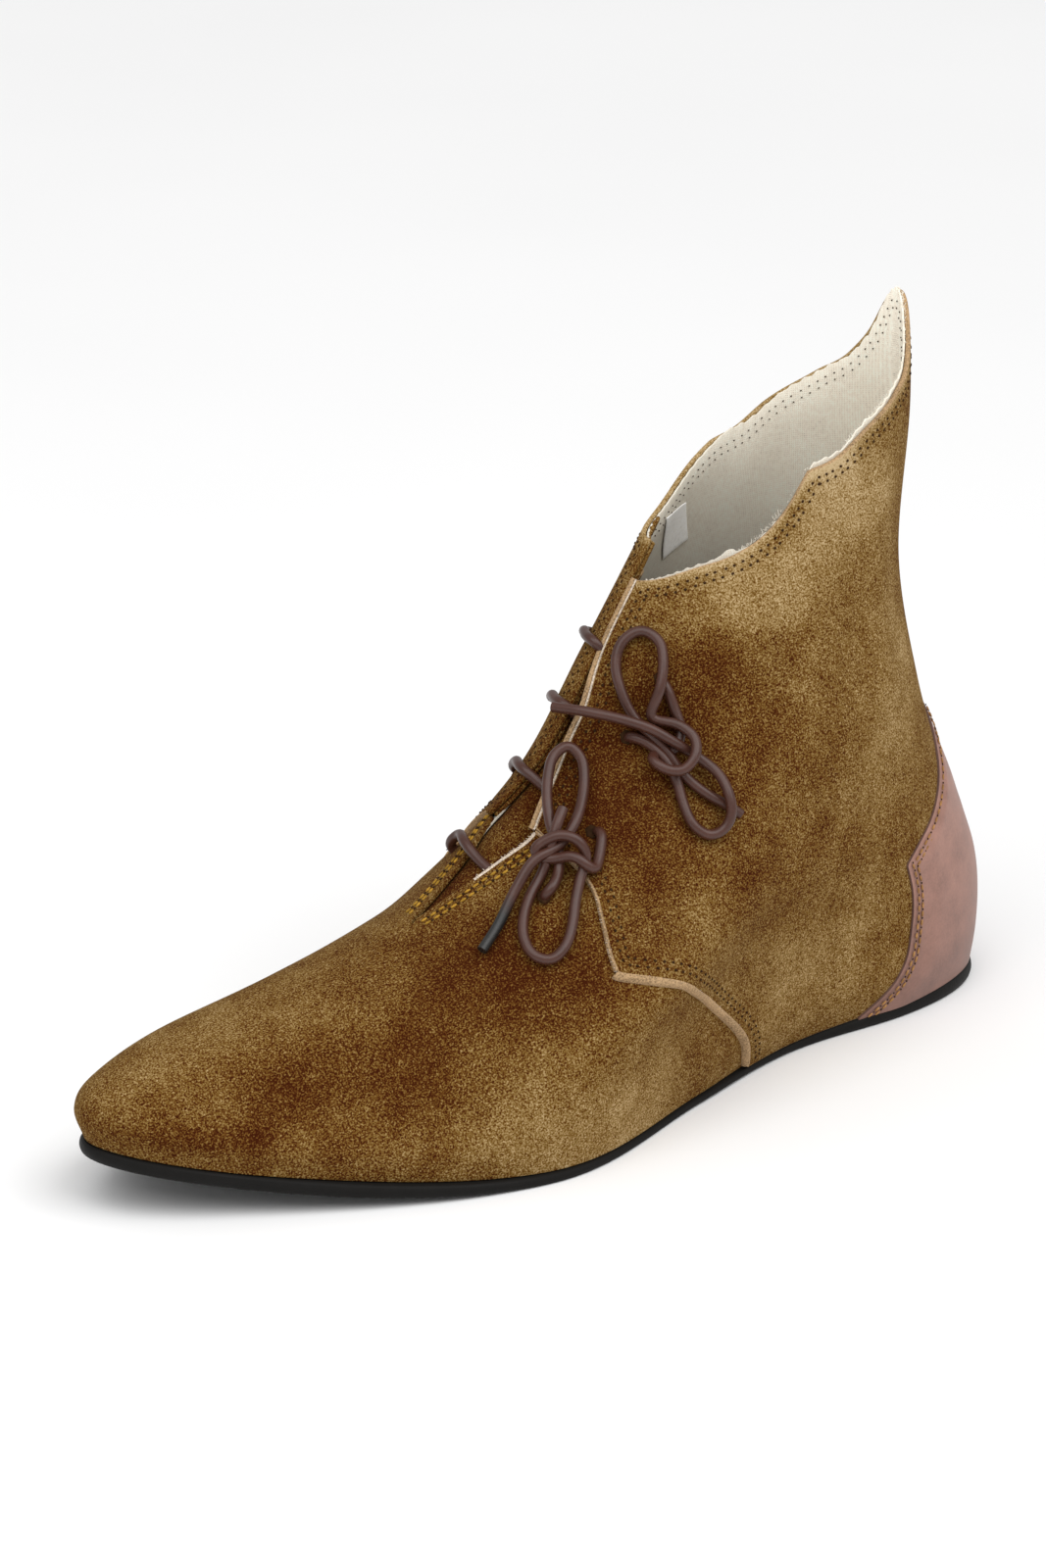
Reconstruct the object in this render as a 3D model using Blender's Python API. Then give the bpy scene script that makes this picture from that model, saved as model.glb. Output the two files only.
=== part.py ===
"""Laced suede ankle boot for the left foot, standing empty on its sole.

X runs from the heel to the toe, Y to the outer side of the foot and Z up. The origin is on the floor
under the middle of the heel. Tables are in millimetres, with x from the back of the heel.
"""
import math
from bisect import bisect_right
from collections import namedtuple
from itertools import groupby

import bmesh
import bpy
from mathutils import Matrix, Vector

MM = 0.001
HEEL_MIDDLE = 38.0
OUTER, INNER = 1, -1

# Driving sizes in millimetres
LENGTH = 276.0
SOLE_CHAMFER = 0.5
TOE_SPRING = 14.5
ARCH_LIFT = 0.4
LAST_HEEL = 6.3
LAST_BALL = 4.8
LAST_ARCH = 1.2
SETTLE_HEIGHT = 26.0
HEEL_FLAT_END = 72.0
BALL_FLAT_START = 140.0
BALL_FLAT_END = 175.0
GAP = 0.3
WALL = 1.5
QUARTER_STEP = 1.3
COUNTER_THICK = 1.1
COUNTER_CLEAR = 0.65
INSOLE_THICK = 2.0
INSOLE_CLEAR = 1.0
TONGUE_THICK = 1.4
TONGUE_CLEAR = 0.5
LACE_WIDTH = 2.7
LACE_HOLE = 3.8
LACE_STEP = 3.1
LACE_LIFT = 0.45
LACE_ROOM = 2.9
LACE_ROOM_SHARE = 0.5
PUNCH_REACH = 5.0

# Sole along its length: x, thickness, and how far its edge stands out past the feather line
SOLE = [(0.0, 4.3, 1.8), (25.0, 4.2, 2.6), (45.0, 3.8, 2.2), (65.0, 2.9, 1.9), (90.0, 2.0, 1.8),
        (105.0, 1.8, 1.4), (130.0, 1.8, 0.9), (160.0, 2.2, 0.8), (185.0, 2.7, 1.5), (205.0, 3.2, 2.2),
        (230.0, 3.6, 2.0), (245.0, 3.7, 1.0), (276.0, 3.7, 1.0)]

# Rings of the last from the feather line to the top of the shaft. Heights are above the foot's own line,
# and the widths are half-widths at the stations below.
Level = namedtuple("Level", "z_back x_back z_front x_front r_back heel shank waist ball toe r_nose")
LEVELS = [
    Level(0, 5.0, 0, 272.1, 20, 23.8, 21.8, 29.6, 44.3, 30.8, 9.5),
    Level(9, 3.5, 7, 274.0, 20, 26.3, 25.8, 31.6, 45.5, 30.9, 11.5),
    Level(19, 3.0, 14, 269.0, 20, 26.6, 27.6, 32.3, 45.5, 27.0, 13),
    Level(29, 4.5, 24, 252.0, 20, 26.4, 29.0, 33.0, 44.5, 25.0, 15),
    Level(39, 8.0, 35, 222.0, 19, 25.4, 29.6, 33.0, 42.0, 26.5, 17),
    Level(53, 13.3, 49, 186.0, 17, 24.0, 30.0, 33.0, 36.0, 28.0, 14),
    Level(80, 22.0, 77, 147.5, 12, 20.3, 27.6, 30.0, 27.5, 17.0, 9),
    Level(115, 28.0, 103, 126.0, 9, 16.0, 22.3, 24.6, 22.5, 13.0, 8),
    Level(155, 23.5, 124, 110.0, 7, 13.0, 18.0, 19.5, 18.0, 10.0, 7),
    Level(190, 24.0, 140, 99.0, 5, 11.0, 15.5, 17.0, 15.0, 8.0, 6),
]
# Share of a ring's length at which heel, shank, waist, ball and toe are measured
STATIONS = (0.14, 0.29, 0.44, 0.64, 0.86)

# Middle line of the plan: share of the length, and how far it swings to the outer side
SWING = [(0.0, 0.0), (0.15, 0.0), (0.29, 1.5), (0.44, 5.0), (0.625, 4.2), (0.70, 0.0), (0.875, -8.7),
         (1.0, -11.0)]
SWING_FULL_BELOW = 35.0
SWING_GONE_ABOVE = 95.0

# Collar seen from the side: x, height on the outer side, height on the inner side
COLLAR_BACK = [(20.0, 190.0, 190.0), (24.0, 186.0, 186.0), (27.5, 175.5, 175.5), (31.0, 170.0, 170.0),
               (39.0, 165.0, 165.0), (53.0, 158.5, 158.5), (62.0, 153.5, 153.5), (71.0, 151.5, 151.5)]
COLLAR_FRONT = [(71.0, 151.5, 151.5), (78.5, 142.7, 148.0), (85.0, 137.0, 145.0), (92.0, 133.2, 142.0),
                (103.0, 130.0, 137.5), (112.0, 127.4, 134.0)]

# Front slit: height, and the y of its outer and inner edge
SLIT = [(55.0, 0.6, -0.6), (58.0, 2.6, -1.0), (62.0, 5.3, -1.4), (68.0, 8.9, -2.6), (73.0, 11.2, -5.0),
        (77.0, 9.6, -3.0), (82.0, 7.6, -1.0), (91.0, 5.2, 0.6), (99.5, 4.5, 0.8), (112.0, 2.2, 0.4),
        (128.0, 1.8, 0.0), (140.0, 1.5, 0.0)]
SLIT_FOOT_LEVEL = 5.06
LIP_LEVEL = 5.72

# Front edge of the quarters seen from the side, as height and x: from the sole up to a pointed corner,
# and from there up to the lip of the slit
QUARTER_LOW = [(4.0, 100.5), (12.0, 104.0), (25.0, 116.5), (36.0, 130.0), (42.0, 140.0), (46.0, 154.0)]
QUARTER_HIGH = [(46.0, 154.0), (51.0, 153.5), (56.0, 152.2), (64.0, 150.0), (70.0, 151.5), (74.0, 153.5)]
SEAM_MARGIN = 3.0
LIFT_FULL_AT = 0.35

# Edge of the heel counter seen from the side, as height and x
COUNTER_LOW = [(4.0, 59.0), (11.0, 50.0), (17.0, 45.8), (25.0, 44.0), (37.0, 44.0), (43.5, 46.0)]
COUNTER_HIGH = [(43.5, 46.0), (47.5, 41.0), (52.0, 34.6), (61.0, 26.5), (70.0, 23.0), (80.0, 20.0)]
COUNTER_TIP_LEVEL = 5.72

# Tongue under the slit: the levels it spans, and how far it reaches to each side of the ridge
TONGUE_FOOT_LEVEL = 4.55
TONGUE_TOP_LEVEL = 7.7
TONGUE_SIDE = {OUTER: 17.0, INNER: 12.0}

# Lace holes on each side, as share of the ring and level, and the height above the suede at which the
# lace bar of that pair ends in the slit
Hole = namedtuple("Hole", "outer_share outer_level inner_share inner_level bar_end")
HOLES = [
    Hole(0.757, 6.80, 0.800, 7.05, 1.9),
    Hole(0.786, 6.36, 0.815, 6.50, 1.2),
    Hole(0.780, 5.70, 0.830, 5.95, -1.6),
    Hole(0.815, 5.31, 0.850, 5.42, -1.6),
]

# Each bow: where its knot sits, as share of the ring and level, and the two halves of its lace. The first
# half runs from the long end by one loop to the lower hole, the second from the upper hole by the other
# loop to the short end, as x, y and z.
KNOT_RADII = (6.3, 6.3, 3.9)
KNOT_LIFT = 4.4
Bow = namedtuple("Bow", "name share level first_half first_nodes second_half second_nodes")
BOWS = [
    Bow("upper_bow", 0.700, 6.22,
        [(139.6, 1.3, 100.6), (135.3, 10.4, 100.6), (129.3, 16.8, 98.8), (124.0, 21.1, 96.2),
         (120.0, 24.1, 93.0), (114.1, 27.1, 88.1), (111.8, 31.1, 85.0), (111.9, 35.6, 80.4),
         (112.5, 37.3, 75.9), (114.4, 36.9, 72.5), (118.2, 35.8, 71.3), (121.4, 33.4, 73.9),
         (121.6, 29.6, 78.8), (121.0, 26.4, 83.7), (122.0, 23.6, 88.3), (124.2, 18.8, 92.4),
         (126.2, 16.4, 93.6)],
        ("long_end", "loop_down", "low_strand"),
        [(116.4, 16.6, 105.2), (115.8, 19.6, 99.3), (115.8, 22.2, 94.2), (118.5, 23.0, 90.5),
         (123.5, 21.0, 89.8), (126.2, 23.5, 89.5), (124.3, 27.3, 87.4), (121.3, 29.0, 87.1),
         (117.4, 29.4, 90.1), (115.5, 27.1, 93.6), (117.4, 22.8, 96.6), (122.2, 18.2, 98.2),
         (120.0, 19.0, 105.2), (117.3, 17.2, 111.0), (115.8, 13.8, 115.7), (118.0, 9.8, 117.9),
         (122.4, 7.3, 115.1), (125.1, 8.2, 110.4), (126.1, 11.1, 105.0), (125.2, 14.9, 98.5),
         (121.5, 21.0, 92.0), (118.0, 27.2, 83.6), (115.0, 30.8, 80.0), (111.0, 33.7, 77.0),
         (108.0, 35.5, 74.3)],
        ("high_strand", "loop_up", "short_end")),
    Bow("lower_bow", 0.806, 5.56,
        [(179.8, 23.1, 53.2), (173.7, 21.7, 57.6), (166.9, 20.1, 64.7), (160.0, 20.0, 71.3),
         (154.5, 21.1, 72.9), (148.5, 20.5, 77.6), (143.5, 17.4, 82.0), (140.5, 14.5, 86.0),
         (139.1, 11.8, 90.0), (140.9, 8.6, 92.8), (144.5, 7.9, 91.1), (147.9, 9.6, 86.9),
         (150.6, 12.4, 82.2), (152.8, 16.3, 77.3), (154.0, 21.0, 71.5), (156.2, 23.4, 67.2),
         (160.4, 25.2, 64.3)],
        ("long_end", "loop_up", "low_strand"),
        [(142.9, 23.9, 74.7), (144.8, 26.0, 72.4), (147.4, 28.0, 69.6), (149.6, 29.4, 68.2),
         (151.6, 28.8, 69.8), (153.1, 26.2, 71.7), (156.5, 21.5, 70.5), (159.3, 18.7, 71.5),
         (157.4, 19.3, 74.7), (153.9, 22.5, 76.5), (151.1, 25.7, 74.9), (150.0, 26.8, 71.0),
         (152.8, 27.8, 66.6), (156.4, 30.3, 62.4), (160.0, 33.3, 57.3), (163.9, 35.2, 53.4),
         (168.1, 35.0, 51.2), (170.9, 32.5, 52.1), (171.0, 28.6, 55.0), (168.2, 24.7, 59.1),
         (164.0, 22.0, 62.9), (158.8, 20.5, 67.3), (155.8, 20.2, 73.5), (153.8, 19.8, 77.6),
         (150.2, 18.2, 81.2)],
        ("high_strand", "loop_down", "short_end")),
]

# Rings shared by the whole upper, and how many follow up to the collar
LIP_STEP = 0.01
LOW_RINGS = [0, 0.5, 1, 1.5, 2, 2.5, 3, 3.5, 4, 4.4, 4.75, SLIT_FOOT_LEVEL, 5.2, 5.35, 5.5, 5.62,
             LIP_LEVEL - LIP_STEP, LIP_LEVEL + LIP_STEP, 5.9, 6.2]
HIGH_RINGS = 9
QUARTER_COLUMNS = 14
VAMP_COLUMNS = 12
SEAM_GAP = 0.012

# Fineness of the other pieces
COUNTER_RINGS, COUNTER_COLUMNS = 16, 9
TONGUE_RINGS, TONGUE_COLUMNS = 13, 6
SOLE_POINTS, INSOLE_POINTS = 40, 24
PUNCH_SIDES = 10
KNOT_SEGMENTS, KNOT_RINGS = 12, 7
LACE_SAMPLE = 0.3
SURFACE_STEP = 0.01
TABLE_STEP = 0.06


class Curve:
    """A smooth curve through knots, with the slope at each knot taken from its neighbours."""

    def __init__(self, knots):
        self.x = [knot[0] for knot in knots]
        self.y = [knot[1] for knot in knots]
        steps = [(self.y[k + 1] - self.y[k]) / (self.x[k + 1] - self.x[k]) for k in range(len(knots) - 1)]
        self.slope = [steps[0]]
        for k in range(1, len(knots) - 1):
            before = self.x[k] - self.x[k - 1]
            after = self.x[k + 1] - self.x[k]
            self.slope.append((steps[k - 1] * after + steps[k] * before) / (before + after))
        self.slope.append(steps[-1])

    def __call__(self, x):
        x = min(max(x, self.x[0]), self.x[-1])
        k = min(max(bisect_right(self.x, x) - 1, 0), len(self.x) - 2)
        span = self.x[k + 1] - self.x[k]
        u = (x - self.x[k]) / span
        ends = (1 + 2 * u) * (1 - u) ** 2 * self.y[k] + u * u * (3 - 2 * u) * self.y[k + 1]
        return ends + span * (u * (1 - u) ** 2 * self.slope[k] + u * u * (u - 1) * self.slope[k + 1])


def ease(u):
    """Smooth step from 0 to 1."""
    u = min(max(u, 0.0), 1.0)
    return u * u * (3 - 2 * u)


def solve(rises, low, high):
    """Where a rising function crosses zero between two limits."""
    for _ in range(36):
        middle = (low + high) / 2
        if rises(middle) < 0:
            low = middle
        else:
            high = middle
    return (low + high) / 2


LEVEL_CURVES = [Curve([(k, row[c]) for k, row in enumerate(LEVELS)]) for c in range(len(Level._fields))]
SOLE_THICK = Curve([(x, thick) for x, thick, _ in SOLE])
SOLE_PROUD = Curve([(x, proud) for x, _, proud in SOLE])
SWING_CURVE = Curve([(share * LENGTH, swing) for share, swing in SWING])
STATION_ANGLES = [0.0] + [math.acos(1 - 2 * share) for share in STATIONS] + [math.pi]
SLIT_EDGE = {OUTER: Curve([(z, out) for z, out, _ in SLIT]), INNER: Curve([(z, inn) for z, _, inn in SLIT])}
COLLAR = {side: (Curve([(row[0], row[column]) for row in COLLAR_BACK]),
                 Curve([(row[0], row[column]) for row in COLLAR_FRONT]))
          for side, column in ((OUTER, 1), (INNER, 2))}
QUARTER = (Curve(QUARTER_LOW), Curve(QUARTER_HIGH))
COUNTER = (Curve(COUNTER_LOW), Curve(COUNTER_HIGH))


def two_part(curves, value):
    """Read an outline made of two smooth runs that meet at a corner."""
    return curves[0](value) if value < curves[0].x[-1] else curves[1](value)


def spring(x, arch_lift):
    """Rise along the foot: flat at heel and ball, lifted at the arch and the toe."""
    if x < BALL_FLAT_START:
        share = min(max((x - HEEL_FLAT_END) / (BALL_FLAT_START - HEEL_FLAT_END), 0.0), 1.0)
        return arch_lift * math.sin(math.pi * share) ** 2
    return TOE_SPRING * max((x - BALL_FLAT_END) / (LENGTH - BALL_FLAT_END), 0.0) ** 2


def floor_clearance(x):
    """Height of the sole's underside."""
    return spring(x, ARCH_LIFT)


def sole_top(x):
    """Height of the surface that the upper stands on."""
    return floor_clearance(x) + SOLE_THICK(x)


def last_height(x, z):
    """Height of a point of the last, which settles down to the sole below."""
    heel = 1 - ease((x - HEEL_FLAT_END) / (BALL_FLAT_START - HEEL_FLAT_END))
    seat = spring(x, LAST_ARCH) + LAST_BALL + (LAST_HEEL - LAST_BALL) * heel
    return z + seat - (seat - sole_top(x) - GAP) * (1 - ease(z / SETTLE_HEIGHT))


def surface(angle, level, side):
    """A point of the last: angle 0 at the back seam, pi at the front ridge."""
    row = Level(*[curve(level) for curve in LEVEL_CURVES])
    length = row.x_front - row.x_back
    share = (1 - math.cos(angle)) / 2
    widths = [row.heel, row.shank, row.waist, row.ball, row.toe]
    spread = [width / math.sin(station) for width, station in zip(widths, STATION_ANGLES[1:])]
    spread = [math.sqrt(row.r_back * length / 2)] + spread + [math.sqrt(row.r_nose * length / 2)]
    fold = min(angle, 2 * math.pi - angle)
    width = Curve(list(zip(STATION_ANGLES, spread)))(fold)
    x = row.x_back + length * share
    z = row.z_back + (row.z_front - row.z_back) * share
    swing = SWING_CURVE(x) * (1 - ease((z - SWING_FULL_BELOW) / (SWING_GONE_ABOVE - SWING_FULL_BELOW)))
    return Vector((x, swing + side * width * math.sin(angle), last_height(x, z)))


def offset_surface(angle, level, side, offset):
    """A point at a distance from the last, along its normal."""
    low = max(level - SURFACE_STEP, 0.0)
    high = min(level + SURFACE_STEP, len(LEVELS) - 1.0)
    around = surface(angle + SURFACE_STEP, level, side) - surface(angle - SURFACE_STEP, level, side)
    upward = surface(angle, high, side) - surface(angle, low, side)
    return surface(angle, level, side) + side * upward.cross(around).normalized() * offset


def ring_speed(angle, level, side):
    """Millimetres along a ring for each radian, just behind an angle."""
    return (surface(angle, level, side) - surface(angle - SURFACE_STEP, level, side)).length / SURFACE_STEP


def tabulate(solver, first, last):
    """Keep a solved angle as a curve over the levels, so that it is worked out only once."""
    count = int((last - first) / TABLE_STEP)
    steps = [first + (last - first) * k / count for k in range(count + 1)]
    return Curve([(level, solver(level)) for level in steps])


def slit_angle(side):
    """The angle of the slit's edge at each level above its foot."""
    def solver(level):
        def rises(angle):
            point = surface(angle, level, side)
            return side * (SLIT_EDGE[side](point.z) - point.y)
        return solve(rises, 0.6 * math.pi, 1.15 * math.pi)
    return tabulate(solver, SLIT_FOOT_LEVEL, len(LEVELS) - 1.0)


def outline_angle(curves, side, last):
    """The angle at which the last meets a side-view outline, at each level."""
    def solver(level):
        def rises(angle):
            point = surface(angle, level, side)
            return point.x - two_part(curves, point.z)
        return solve(rises, 0.0, math.pi)
    return tabulate(solver, 0.0, last)


SLIT_ANGLE = {side: slit_angle(side) for side in (OUTER, INNER)}
SEAM_ANGLE = {side: outline_angle(QUARTER, side, LIP_LEVEL) for side in (OUTER, INNER)}
COUNTER_ANGLE = {side: outline_angle(COUNTER, side, COUNTER_TIP_LEVEL) for side in (OUTER, INNER)}


def front_angle(level, side):
    """The angle where a ring ends in front: the ridge, or the slit's edge above its foot."""
    return math.pi if level <= SLIT_FOOT_LEVEL else SLIT_ANGLE[side](level)


def seam_angle(level, side):
    """The angle of the quarter's front edge, which stays a little behind the slit."""
    limit = front_angle(level, side) - SEAM_MARGIN / ring_speed(0.9 * math.pi, level, side)
    return limit if level > LIP_LEVEL else min(SEAM_ANGLE[side](level), limit)


def column_angle(column, level, side):
    """The angle of one column of the upper: columns of the quarter, then columns of the vamp."""
    seam = seam_angle(level, side)
    if column <= QUARTER_COLUMNS:
        return seam * column / QUARTER_COLUMNS
    seam += SEAM_GAP
    share = (column - QUARTER_COLUMNS - 1) / (VAMP_COLUMNS - 1)
    return seam + (front_angle(level, side) - seam) * share


def collar_level(column, side):
    """The level at which one column of the upper reaches the collar."""
    def rises(level):
        point = surface(column_angle(column, level, side), level, side)
        return point.z - two_part(COLLAR[side], point.x)
    return solve(rises, LOW_RINGS[-1], len(LEVELS) - 1.0)


def quarter_lift(angle):
    """How far the quarters stand proud of the vamp, fading out at the back seam."""
    return QUARTER_STEP * ease(angle / (LIFT_FULL_AT * math.pi))


def place(point):
    """A table point in metres, measured from the origin under the heel."""
    return Vector((point.x - HEEL_MIDDLE, point.y, point.z)) * MM


def material(name, color, roughness):
    """A plain finish for one piece."""
    finish = bpy.data.materials.new(name)
    finish.use_nodes = True
    shader = finish.node_tree.nodes["Principled BSDF"]
    shader.inputs["Base Color"].default_value = (*color, 1.0)
    shader.inputs["Roughness"].default_value = roughness
    shader.inputs["Metallic"].default_value = 0.0
    return finish


def finish_piece(name, mesh, finish, collection):
    """Close a piece's mesh and put it in the scene under its name."""
    bmesh.ops.recalc_face_normals(mesh, faces=mesh.faces)
    data = bpy.data.meshes.new(name)
    mesh.to_mesh(data)
    mesh.free()
    data.shade_smooth()
    data.set_sharp_from_angle(angle=math.radians(40))
    data.materials.append(finish)
    piece = bpy.data.objects.new(name, data)
    collection.objects.link(piece)
    return piece


def skin(mesh, grid):
    """Join a grid of vertices with quads, leaving out those that a shared vertex closes up."""
    for one, two in zip(grid, grid[1:]):
        for k in range(len(one) - 1):
            corners = list(dict.fromkeys((one[k], one[k + 1], two[k + 1], two[k])))
            if len(corners) > 2:
                mesh.faces.new(corners)


def make_upper(collection):
    """Vamp and quarters as one hollow wall, with the quarters' edge as a step in it."""
    mesh = bmesh.new()
    columns = QUARTER_COLUMNS + VAMP_COLUMNS
    order = [(column, OUTER) for column in range(columns, -1, -1)]
    order += [(column, INNER) for column in range(1, columns + 1)]
    foot = LOW_RINGS.index(SLIT_FOOT_LEVEL)
    lip = LOW_RINGS.index(LIP_LEVEL + LIP_STEP)
    walls = ([], [])
    for column, side in order:
        top = collar_level(column, side)
        rise = [LOW_RINGS[-1] + (top - LOW_RINGS[-1]) * (k + 1) / HIGH_RINGS for k in range(HIGH_RINGS)]
        lines = ([], [])
        for ring, level in enumerate(LOW_RINGS + rise):
            angle = column_angle(column, level, side)
            quarter = column <= QUARTER_COLUMNS or ring >= lip
            outside = offset_surface(angle, level, side, quarter_lift(angle) if quarter else 0.0)
            inside = offset_surface(angle, level, side, -WALL)
            if ring == 0:
                outside.z = inside.z = surface(angle, level, side).z
            lines[0].append(outside)
            lines[1].append(inside)
        for wall, line in zip(walls, lines):
            wall.append(line)
    grids = []
    for wall in walls:
        grid = [[mesh.verts.new(place(point)) for point in line] for line in wall[:-1]]
        grid.append(grid[0][:foot + 1] + [mesh.verts.new(place(point)) for point in wall[-1][foot + 1:]])
        grids.append(grid)
    outside, inside = grids
    skin(mesh, outside)
    skin(mesh, inside)
    skin(mesh, [[line[0] for line in outside], [line[0] for line in inside]])
    skin(mesh, [[line[-1] for line in outside], [line[-1] for line in inside]])
    skin(mesh, [outside[0][foot:], inside[0][foot:]])
    skin(mesh, [outside[-1][foot:], inside[-1][foot:]])
    return finish_piece("upper", mesh, material("suede", (0.21, 0.105, 0.03), 0.95), collection)


def make_patch(name, rows, finish, collection):
    """A curved plate from rows of (outside, inside) points."""
    mesh = bmesh.new()
    outside = [[mesh.verts.new(place(pair[0])) for pair in row] for row in rows]
    inside = [[mesh.verts.new(place(pair[1])) for pair in row] for row in rows]
    skin(mesh, outside)
    skin(mesh, inside)
    for rim in ((outside[0], inside[0]), (outside[-1], inside[-1])):
        skin(mesh, rim)
    for end in (0, -1):
        skin(mesh, ([row[end] for row in outside], [row[end] for row in inside]))
    return finish_piece(name, mesh, finish, collection)


def make_counter(collection):
    """Leather counter laid over the back of the quarters."""
    rows = []
    for ring in range(COUNTER_RINGS + 1):
        level = COUNTER_TIP_LEVEL * ring / COUNTER_RINGS
        row = []
        for column in range(-COUNTER_COLUMNS, COUNTER_COLUMNS + 1):
            side = OUTER if column >= 0 else INNER
            angle = COUNTER_ANGLE[side](level) * abs(column) / COUNTER_COLUMNS
            base = quarter_lift(angle) + COUNTER_CLEAR
            pair = [offset_surface(angle, level, side, base + COUNTER_THICK),
                    offset_surface(angle, level, side, base)]
            if ring == 0:
                for point in pair:
                    point.z = surface(angle, level, side).z
            row.append(pair)
        rows.append(row)
    leather = material("counter_leather", (0.19, 0.075, 0.05), 0.5)
    return make_patch("heel_counter", rows, leather, collection)


def make_tongue(collection):
    """Suede tongue under the slit, close to the inner wall and with room for the laces at the outer one."""
    rows = []
    for ring in range(TONGUE_RINGS + 1):
        level = TONGUE_FOOT_LEVEL + (TONGUE_TOP_LEVEL - TONGUE_FOOT_LEVEL) * ring / TONGUE_RINGS
        row = []
        for column in range(-TONGUE_COLUMNS, TONGUE_COLUMNS + 1):
            side = OUTER if column >= 0 else INNER
            reach = TONGUE_SIDE[side] / ring_speed(math.pi, level, side)
            angle = math.pi - reach * abs(column) / TONGUE_COLUMNS
            room = LACE_ROOM * ease((level - TONGUE_FOOT_LEVEL) / (SLIT_FOOT_LEVEL - TONGUE_FOOT_LEVEL))
            room *= ease(column / TONGUE_COLUMNS / LACE_ROOM_SHARE)
            depth = -WALL - TONGUE_CLEAR - room
            row.append([offset_surface(angle, level, side, depth),
                        offset_surface(angle, level, side, depth - TONGUE_THICK)])
        rows.append(row)
    return make_patch("tongue", rows, material("tongue_suede", (0.16, 0.08, 0.025), 0.95), collection)


def plan_ring(count, outset):
    """Outline of the feather line seen from above, moved outwards by a function of x."""
    points = []
    for k in range(2 * count):
        side = OUTER if k <= count else INNER
        angle = math.pi * (k if k <= count else 2 * count - k) / count
        ahead = surface(angle + SURFACE_STEP, 0.0, side)
        along = side * (ahead - surface(angle - SURFACE_STEP, 0.0, side))
        out = Vector((-along.y, along.x, 0.0)).normalized()
        feather = surface(angle, 0.0, side)
        points.append(feather + out * outset(feather.x))
    return points


def make_plate(name, profile, count, finish, collection):
    """A plate along the feather line, through rings of (outset, height) functions from top to bottom."""
    mesh = bmesh.new()
    rings = []
    for outset, height in profile:
        ring = plan_ring(count, outset)
        for point in ring:
            point.z = height(point.x)
        rings.append([mesh.verts.new(place(point)) for point in ring])
    for one, two in zip(rings, rings[1:]):
        skin(mesh, (one + one[:1], two + two[:1]))
    for ring in (rings[0], rings[-1]):
        skin(mesh, (ring[:count + 1], ring[:1] + ring[:count - 1:-1]))
    return finish_piece(name, mesh, finish, collection)


def make_outsole(collection):
    """Thin rubber sole with a small chamfer round both edges."""
    def chamfered(x):
        return SOLE_PROUD(x) - SOLE_CHAMFER

    profile = [(chamfered, sole_top),
               (SOLE_PROUD, lambda x: sole_top(x) - SOLE_CHAMFER),
               (SOLE_PROUD, lambda x: floor_clearance(x) + SOLE_CHAMFER),
               (chamfered, floor_clearance)]
    rubber = material("sole_rubber", (0.012, 0.012, 0.013), 0.6)
    return make_plate("outsole", profile, SOLE_POINTS, rubber, collection)


def make_insole(collection):
    """Plain sock liner on the sole, inside the wall."""
    def inset(x):
        return -WALL - INSOLE_CLEAR

    profile = [(inset, lambda x: sole_top(x) + GAP + INSOLE_THICK), (inset, lambda x: sole_top(x) + GAP)]
    liner = material("insole_leather", (0.45, 0.34, 0.22), 0.8)
    return make_plate("insole", profile, INSOLE_POINTS, liner, collection)


def suede_point(angle, level, side, lift):
    """A point above the suede of a quarter."""
    return offset_surface(angle, level, side, quarter_lift(angle) + lift)


def cut_lace_holes(upper, cutters):
    """Punch the lace holes through the wall."""
    mesh = bmesh.new()
    for hole in HOLES:
        for side, share, level in ((OUTER, hole.outer_share, hole.outer_level),
                                   (INNER, hole.inner_share, hole.inner_level)):
            angle = share * math.pi
            tip = place(suede_point(angle, level, side, PUNCH_REACH))
            foot = place(suede_point(angle, level, side, -PUNCH_REACH))
            turn = (tip - foot).to_track_quat("Z", "Y").to_matrix().to_4x4()
            bmesh.ops.create_cone(mesh, cap_ends=True, segments=PUNCH_SIDES, radius1=LACE_HOLE / 2 * MM,
                                  radius2=LACE_HOLE / 2 * MM, depth=(tip - foot).length,
                                  matrix=Matrix.Translation((tip + foot) / 2) @ turn)
    punches = finish_piece("lace_hole_punches", mesh, upper.data.materials[0], cutters)
    punches.hide_render = True
    punches.display_type = "WIRE"
    cut = upper.modifiers.new("lace_holes", "BOOLEAN")
    cut.operation = "DIFFERENCE"
    cut.solver = "EXACT"
    cut.object = punches


def smooth_path(points):
    """A close row of points on the smooth curve through a lace's own points."""
    run = [0.0]
    for one, two in zip(points, points[1:]):
        run.append(run[-1] + (Vector(two) - Vector(one)).length)
    axes = [Curve([(at, point[k]) for at, point in zip(run, points)]) for k in range(3)]
    count = int(run[-1] / LACE_SAMPLE)
    return [Vector([axis(run[-1] * k / count) for axis in axes]) for k in range(count + 1)]


def spaced(path, step):
    """Points about a step apart along a close row of points, with both ends kept."""
    length = sum((two - one).length for one, two in zip(path, path[1:]))
    count = max(round(length / step), 2)
    picked = [round((len(path) - 1) * k / count) for k in range(count + 1)]
    return [path[k] for k in picked]


def make_tube(name, path, finish, collection):
    """A stretch of lace with closed ends."""
    data = bpy.data.curves.new(name, "CURVE")
    data.dimensions = "3D"
    data.bevel_depth = LACE_WIDTH / 2 * MM
    data.bevel_resolution = 2
    data.use_fill_caps = True
    data.materials.append(finish)
    spline = data.splines.new("POLY")
    points = spaced(path, LACE_STEP)
    spline.points.add(len(points) - 1)
    for spot, point in zip(spline.points, points):
        spot.co = (*place(point), 1.0)
    collection.objects.link(bpy.data.objects.new(name, data))


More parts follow.
